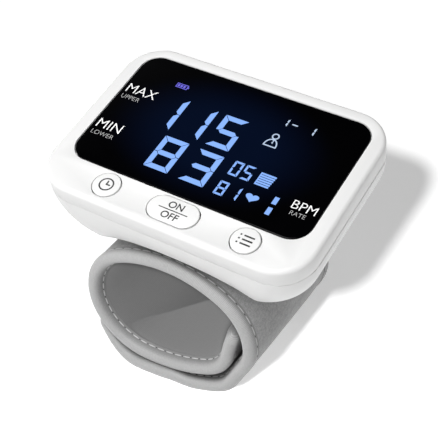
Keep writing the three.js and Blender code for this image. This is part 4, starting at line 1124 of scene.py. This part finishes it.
def tape_section():
    """Points of (across, out) round the C, outer side first."""
    over = [(20.7, 2.3), (20.75, 2.42), (21.2, 2.42), (21.55, 2.3), (21.9, 2.42), (22.5, 2.46)]
    bend = []
    for step in range(TAPE_SECTION_STEPS + 1):
        angle = math.pi * (0.5 - step / TAPE_SECTION_STEPS)
        across = TAPE_TURN["across"] + TAPE_TURN["wide"] * math.cos(angle)
        bend.append((across, TAPE_TURN["half"] * math.sin(angle)))
    under = [(across, -out) for across, out in reversed(over)]
    inner = [(20.8, -2.24), (22.9, -2.24)]
    for step in range(1, 6):
        angle = math.pi * (step / 6 - 0.5)
        across = TAPE_TURN["across"] + TAPE_TURN["inner_wide"] * math.cos(angle)
        inner.append((across, TAPE_TURN["inner_half"] * math.sin(angle)))
    inner += [(22.9, 2.24), (20.8, 2.24)]
    return over + bend + under + inner


def tape(name, side, end):
    section = tape_section()
    fresh()
    length = ENDS[side]
    bpy.ops.mesh.primitive_cylinder_add(
        vertices=len(section), radius=1, depth=length, end_fill_type="NGON",
        location=(length / 2, 0, 0), rotation=(0, math.pi / 2, 0),
    )
    piece = bpy.context.object
    piece.name = name
    bpy.ops.object.transform_apply(location=True, rotation=True, scale=True)
    slice_edges(piece, along_x, min(99, round(length / 1.3)))
    for point in piece.data.vertices:
        turn = math.atan2(point.co.z, point.co.y) / (2 * math.pi)
        across, out = section[round(turn * len(section)) % len(section)]
        point.co = (point.co.x, end * across, out)
    face_outwards(piece)
    return piece


ENDS_OF_BAND = {"front": -1, "rear": 1}
for side in (-1, 1):
    for label, end in ENDS_OF_BAND.items():
        rim = tape(f"rim_{label}_{SIDE_NAMES[side]}", side, end)
        roll(rim, COURSES[side])
        smooth(rim, 50)
        settle(rim, TO_METRES, TAPE)
        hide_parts(f"saddle_{label}_binding", f"{STRETCH_NAMES[side]}_{label}_binding")
        hang(rim)

# %% [markdown]
# ## Bound ends
# The same tape closes the ends of the wrap and the flap. Each end is a sliced block whose thickness runs out
# in a round towards its tip and its corners. The slices lie closer together where it is round.

# %% Bound ends
END_GAP = 0.1
WRAP_TIP = 3.3
END_CORNER = 2.6
TIP_START = 0.3
LEAST_HALF = 0.1


def round_off(excess, reach):
    """A quarter ellipse: one while there is no excess, and nothing once it is as long as the reach."""
    return math.sqrt(max(0.0, 1 - (max(0.0, excess) / reach) ** 2))


def bound_end(name, side, start, stop):
    half = TAPE_TURN["half"]
    piece = strip(name, (start, stop), (-RIM, RIM), (-half, half), pitch=0.25, rows=60)

    def rule(along, across, out):
        share = math.sin(math.pi / 2 * (along - start) / (stop - start))
        corner = END_CORNER * (1 - math.sqrt(1 - share * share))
        place = (RIM - corner) * math.sin(math.pi / 2 * across / RIM)
        tip = round_off(share - TIP_START, 1 - TIP_START)
        rim = round_off(abs(place) + corner - TAPE_TURN["across"], TAPE_TURN["wide"])
        level = LEAST_HALF + (half - LEAST_HALF) * tip * rim
        return start + share * (stop - start), place, math.copysign(level, out)

    reshape(piece, rule)
    roll(piece, COURSES[side])
    smooth(piece, 50)
    settle(piece, TO_METRES, TAPE)
    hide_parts(STRETCH_NAMES[side] + "_end_binding")
    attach(piece, BODIES[side])


bound_end("end_of_wrap", -1, WRAP_END + END_GAP, WRAP_END + WRAP_TIP)
bound_end("end_of_flap", 1, FLAP_END + END_GAP, FLAP_TIP_END)

# %% [markdown]
# ## Stitches
# A lock stitch shows as a row of short thread lengths on each face, with a needle hole between two of them.
# Each hole is a small near-black bead, whose colour is painted shade of the hole.
# One stitch and one hole are repeated along the flat band with an Array modifier and then rolled with it.
# Those that would lie where the flap stands on the table are left out, since they are pressed into the tape.

# %% Stitches
STITCH_PITCH = 3.5
STITCH_ROW = 21.55
STITCH_LEVEL = 2.3
STITCH_START = 2.0


def bead(size, place, sides):
    fresh()
    bpy.ops.mesh.primitive_uv_sphere_add(segments=sides, ring_count=5, radius=1, rotation=(0, math.pi / 2, 0))
    piece = bpy.context.object
    bpy.ops.object.transform_apply(location=False, rotation=True, scale=False)
    piece.scale = size
    piece.location = place
    bpy.ops.object.transform_apply(location=True, rotation=False, scale=True)
    return piece


def repeat(piece, count, step):
    change = piece.modifiers.new("repeat", "ARRAY")
    change.count = count
    change.use_relative_offset = False
    change.use_constant_offset = True
    change.constant_offset_displace = step
    apply_all(piece)
    return piece


def drop_sunk(piece, course):
    def sunk(point):
        x, z, out_x, out_z = course.at(point.co.x)
        return z + point.co.z * out_z < 0.05

    edit(piece)
    pick("verts", sunk)
    bpy.ops.mesh.select_linked(delimit=set())
    bpy.ops.mesh.delete(type="VERT")
    done()


def sewn_rows(name, side, size, first, sides, look):
    count = int((ENDS[side] - first - 1) / STITCH_PITCH)
    rows = []
    for end in (-1, 1):
        for face in (-1, 1):
            row = bead(size, (first, end * STITCH_ROW, face * STITCH_LEVEL), sides)
            rows.append(repeat(row, count, (STITCH_PITCH, 0, 0)))
    rows = gather(name, rows)
    if side > 0:
        drop_sunk(rows, COURSES[side])
    roll(rows, COURSES[side])
    smooth(rows, 80)
    settle(rows, TO_METRES, look)
    hang(rows)


for side in (-1, 1):
    label = SIDE_NAMES[side]
    sewn_rows("stitches_" + label, side, (1.4, 0.2, 0.17), STITCH_START, 8, THREAD)
    between = STITCH_START + STITCH_PITCH / 2
    # The beads between the stitches carry painted shade of the needle holes.
    sewn_rows("needle_holes_" + label, side, (0.28, 0.24, 0.07), between, 6, NEEDLE_HOLE_SHADE)

# %% [markdown]
# ## Hook tape
# Inside the flap's end a patch of stiff hook tape grips the brushed cloth of the wrap. It is a thin ground
# with rows of small headed pins, repeated in two directions before it is rolled.

# %% Hook tape
HOOK_REACH = 17.2
HOOK_PITCH = 1.3
HOOK_RUN = 16.2
PIN = {"head": 0.3, "foot": 0.16, "height": 0.4, "level": -2.05}
GROUND = {"reach": 17.45, "span": (-1.9, -1.5)}
hook_start = FLAP_END - FLAP[-1][0]
xs = (hook_start, FLAP_END - TIP_GAP)
ground = strip("hook_ground", xs, (-GROUND["reach"], GROUND["reach"]), GROUND["span"], rows=20)
fresh()
bpy.ops.mesh.primitive_cone_add(
    vertices=6, radius1=PIN["head"], radius2=PIN["foot"], depth=PIN["height"],
    location=(hook_start + 0.8, -HOOK_REACH + 0.5, PIN["level"]),
)
pins = bpy.context.object
bpy.ops.object.transform_apply(location=True, rotation=True, scale=True)
repeat(pins, int(HOOK_RUN / HOOK_PITCH) + 1, (HOOK_PITCH, 0, 0))
repeat(pins, int((2 * HOOK_REACH - 1) / HOOK_PITCH) + 1, (0, HOOK_PITCH, 0))
hooks = gather("hook_tape", [ground, pins])
roll(hooks, right_course)
smooth(hooks)
settle(hooks, TO_METRES, HOOK)
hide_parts("hook_patch")
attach(hooks, "cuff_flap")

# %% [markdown]
# ## Marks on the panel
# The lit figures are segments with mitred ends, as on a real display. Each one starts as a filled circle
# whose points are put on the outline, and a Solidify modifier gives it a little thickness on the panel's
# face. The numbers are plain and the words beside them generic.

# %% Plates and figures
MARK_THICK = 0.05
SEGMENTS = {"0": "abcdef", "1": "bc", "3": "abcdg", "5": "acdfg", "8": "abcdefg", "-": "g"}


def plate(outline, level=0.0):
    fresh()
    bpy.ops.mesh.primitive_circle_add(vertices=len(outline), fill_type="NGON")
    piece = bpy.context.object
    for point, (x, y) in zip(piece.data.vertices, outline):
        point.co = (x, y, level)
    piece.data.update()
    change = piece.modifiers.new("thickness", "SOLIDIFY")
    change.thickness = MARK_THICK
    change.offset = 0
    apply_all(piece)
    return piece


def bar_plate(xs, ys, level=0.0):
    return plate([(xs[0], ys[0]), (xs[1], ys[0]), (xs[1], ys[1]), (xs[0], ys[1])], level)


def ring_plate(middle, radius, width, level=0.0):
    zs = (level - MARK_THICK / 2, level + MARK_THICK / 2)
    hole = rod("hole", radius - width, (level - 1, level + 1), middle)
    return cut(rod("ring", radius, zs, middle), hole)


def segment(kind, width, height, bar, gap):
    """Outline of one segment of a figure that has its lower left corner at the origin."""
    middle = height / 2
    half = bar / 2
    inner = width - bar - gap
    if kind == "g":
        right = [(inner, middle + half), (width - half - gap, middle), (inner, middle - half)]
        return [(width - x, y) for x, y in right] + right[::-1]
    if kind in "ad":
        outline = [(gap, height), (width - gap, height), (inner, height - bar), (bar + gap, height - bar)]
    else:
        outline = [(0, height - gap), (0, middle + gap), (half, middle + gap), (bar, middle + half + gap)]
        outline.append((bar, height - bar - gap))
    if kind in "bc":
        outline = [(width - x, y) for x, y in outline]
    if kind in "cde":
        outline = [(x, height - y) for x, y in outline]
    return outline


def figure(sign, corner, size, bar, gap):
    pieces = []
    for kind in SEGMENTS[sign]:
        outline = segment(kind, size[0], size[1], bar, gap)
        pieces.append(plate([(corner[0] + x, LENS["y"] + corner[1] + y) for x, y in outline]))
    return pieces


# %% Lit marks
def lit(name, colour):
    return moulded(name, (0.01, 0.012, 0.03, 1), (0.012, 0.015, 0.036, 1), (0.3, 0.4), bump=(0.05, 0.01),
                   Emission_Color=colour, Emission_Strength=1.0)


LIT = lit("lit_segment", (0.254, 0.47, 1.0, 1))
LIT_PALE = lit("lit_pale", (0.5, 0.62, 0.78, 1))
LIT_VIOLET = lit("lit_violet", (0.16, 0.14, 0.75, 1))
# Each row: the sign, its lower left corner, its size, the width of its bars, and the gap between them.
FIGURES = [
    ("1", (-24.3, -2.8), (8, 12.8), 1.7, 0.12),
    ("1", (-14.3, -2.8), (8, 12.6), 1.7, 0.12),
    ("5", (-3.5, -2.8), (7.8, 12.4), 1.7, 0.12),
    ("8", (-15.6, -17.3), (8.2, 12.4), 1.7, 0.12),
    ("3", (-3.7, -17.3), (8.3, 12.2), 1.7, 0.12),
    ("0", (8.3, -10.0), (3.0, 5.3), 0.65, 0.1),
    ("5", (12.1, -10.0), (3.0, 5.3), 0.65, 0.1),
    ("8", (8.1, -17.7), (3.0, 5.0), 0.65, 0.1),
    ("1", (12.3, -17.7), (3.0, 5.0), 0.65, 0.1),
]
SMALL_FIGURES = [
    ("1", (12.9, 12.6), (1.9, 3.0), 0.5, 0.08),
    ("-", (15.7, 12.6), (2.5, 3.0), 0.45, 0.05),
    ("1", (21.6, 12.4), (1.9, 3.2), 0.5, 0.08),
    ("1", (12.4, 4.9), (2.0, 1.9), 0.45, 0.05),
]


def oval(middle, size, start, stop, steps):
    turns = [math.pi * (start + (stop - start) * step / steps) for step in range(steps + 1)]
    return [(middle[0] + size[0] * math.cos(turn), middle[1] + size[1] * math.sin(turn)) for turn in turns]


def person():
    """A head ring and round shoulders on a base bar."""
    low = LENS["y"] + 4.2
    shoulders = oval((14, low), (2.1, 2.7), 0, 1, 16) + oval((14, low), (1.7, 2.3), 1, 0, 16)
    base = bar_plate((11.9, 16.1), (low - 0.4, low))
    return [ring_plate((14, low + 3.75), 1.15, 0.4), plate(shoulders), base]


def paper():
    """A written sheet: six lines, and a bar along their left ends."""
    low = LENS["y"] - 10
    pieces = []
    for step in range(6):
        line = low + 0.8 * step
        pieces.append(bar_plate((17 + 0.04 * step, 21.4 + 0.1 * step), (line, line + 0.6)))
    return pieces + [bar_plate((17, 17.35), (low, low + 4.6))]


def heart():
    outline = []
    for step in range(28):
        turn = 2 * math.pi * step / 28
        bulge = 13 * math.cos(turn) - 5 * math.cos(2 * turn) - 2 * math.cos(3 * turn) - math.cos(4 * turn)
        outline.append((19.05 + 0.128 * 16 * math.sin(turn) ** 3, LENS["y"] - 14.6 + 0.1 * bulge))
    return [plate(outline)]


def level_bars():
    low = LENS["y"]
    return [bar_plate((24.8, 26.2), (low + y, low + y + 2.6)) for y in (-18.0, -14.1)]


def battery_sign():
    low = LENS["y"] + 13.4
    frame_bars = [
        bar_plate((-24.2, -20.2), (low, low + 0.25)),
        bar_plate((-24.2, -20.2), (low + 1.55, low + 1.8)),
        bar_plate((-24.2, -23.95), (low, low + 1.8)),
        bar_plate((-20.45, -20.2), (low, low + 1.8)),
        bar_plate((-20.2, -19.8), (low + 0.55, low + 1.25)),
    ]
    return frame_bars + [bar_plate((-23.7 + i, -23.0 + i), (low + 0.45, low + 1.35)) for i in range(3)]


def figures(rows):
    return [piece for row in rows for piece in figure(*row)]


LIT_SIGNS = [
    ("lit_marks", figures(FIGURES) + paper() + heart() + level_bars(), LIT),
    ("lit_user_sign", figures(SMALL_FIGURES) + person(), LIT_PALE),
    ("lit_battery_sign", battery_sign(), LIT_VIOLET),
]
for name, pieces, look in LIT_SIGNS:
    sign = gather(name, pieces)
    settle(sign, CASE_PLACE, look)
    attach(sign, "monitor_case")


# %% Words
def word(text, left, ys, level=0.0, centred=False, weight=-0.008):
    """A word in the built-in font as a thin closed mesh, scaled to stand between two heights."""
    fresh()
    bpy.ops.object.text_add(location=(0, 0, 0))
    label = bpy.context.object
    label.data.body = text
    label.data.extrude = 0.02
    label.data.offset = weight
    bpy.ops.object.convert(target="MESH")
    edit(label)
    bpy.ops.mesh.select_all(action="SELECT")
    bpy.ops.mesh.remove_doubles(threshold=0.0001)
    done()
    xs = [point.co.x for point in label.data.vertices]
    heights = [point.co.y for point in label.data.vertices]
    scale = (ys[1] - ys[0]) / (max(heights) - min(heights))
    start = left - (max(xs) - min(xs)) * scale / 2 if centred else left
    for point in label.data.vertices:
        x, y, z = point.co
        lift = math.copysign(MARK_THICK / 2, z)
        point.co = (start + (x - min(xs)) * scale, ys[0] + (y - min(heights)) * scale, level + lift)
    return label


LABELS = [
    ("label_upper", LABEL_WHITE, "MAX", -37.6, (5.6, 9.0)),
    ("label_lower", LABEL_WHITE, "MIN", -37.6, (-10.4, -7.0)),
    ("label_rate", LABEL_WHITE, "BPM", 30.2, (-13.0, -10.1)),
    ("note_upper", LABEL_GREY, "UPPER", -37.5, (2.8, 4.4)),
    ("note_lower", LABEL_GREY, "LOWER", -37.5, (-13.2, -11.6)),
    ("note_rate", LABEL_GREY, "RATE", 30.9, (-15.2, -13.8)),
]
for name, look, text, left, (low, high) in LABELS:
    label = gather(name, [word(text, left, (LENS["y"] + low, LENS["y"] + high))])
    settle(label, CASE_PLACE, look)
    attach(label, "monitor_case")

# %% [markdown]
# ## Marks on the keys
# The keys carry generic signs in dark ink: a clock, the two words for on and off with a line between, and a
# list. They ride on the keys, so they go down with them.


# %% Marks on the keys
def clock(x, y):
    hands = [bar_plate((x - 0.22, x + 0.22), (y - 0.22, y + 1.4), KEY_TOP)]
    hands.append(bar_plate((x + 0.22, x + 1.2), (y - 0.22, y + 0.22), KEY_TOP))
    return [ring_plate((x, y), 2.3, 0.45, KEY_TOP)] + hands


def on_and_off(x, y):
    line = bar_plate((x - 4.7, x + 4.7), (y - 0.15, y + 0.15), KEY_TOP)
    upper = word("ON", x, (y + 0.7, y + 3.0), KEY_TOP, True, 0.012)
    return [line, upper, word("OFF", x, (y - 3.0, y - 0.7), KEY_TOP, True, 0.012)]


def written_list(x, y):
    pieces = []
    for step in (-1, 0, 1):
        low = y + 1.35 * step - 0.25
        pieces.append(bar_plate((x - 2.2, x - 1.7), (low, low + 0.5), KEY_TOP))
        pieces.append(bar_plate((x - 1.0, x + 2.2), (low, low + 0.5), KEY_TOP))
    return pieces


SIGNS = {"set": clock, "start": on_and_off, "memory": written_list}
for label, sign in SIGNS.items():
    mark = gather("sign_" + label, sign(KEYS[label]["x"], KEY_ROW))
    settle(mark, CASE_PLACE, DARK_INK)
    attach(mark, label + "_button")

# %% [markdown]
# ## Finishes of the parts inside
# The parts inside the case keep their CAD shapes. The record says which material slot each of them has, and
# each slot gets one finish with fine structure of its own.

# %% Finishes by slot
SLOT_LOOKS = {
    "lcd_glass": moulded("grey_glass", (0.09, 0.1, 0.1, 1), (0.12, 0.13, 0.13, 1), (0.08, 0.14),
                         bump=(0.03, 0.01)),
    "display_light": moulded("light_guide", (0.5, 0.56, 0.7, 1), (0.58, 0.64, 0.78, 1), (0.35, 0.5)),
    "clear_plastic": moulded("milky_plastic", grey(0.55), grey(0.64), (0.2, 0.32)),
    "grey_plastic": moulded("grey_plastic", grey(0.2), grey(0.26), (0.4, 0.55)),
    "black_rubber": moulded("black_rubber", grey(0.015), grey(0.028), (0.6, 0.8), bump=(0.3, 0.03)),
    "green_board": moulded("green_board", (0.008, 0.09, 0.03, 1), (0.014, 0.13, 0.045, 1), (0.25, 0.4)),
    "steel": moulded("brushed_steel", grey(0.5), grey(0.62), (0.22, 0.38), scale=4000.0, metal=1.0),
    "cell_sleeve": moulded("cell_sleeve", (0.02, 0.035, 0.08, 1), (0.03, 0.05, 0.11, 1), (0.18, 0.28)),
    "silicone": SILICONE,
}
for entry in frame["record"]["subparts"]:
    look = SLOT_LOOKS.get(entry["material_slot"])
    if look:
        materials = frame["nodes"][entry["node"]].data.materials
        materials.clear()
        materials.append(look)
print("finishes inside", sorted(SLOT_LOOKS))
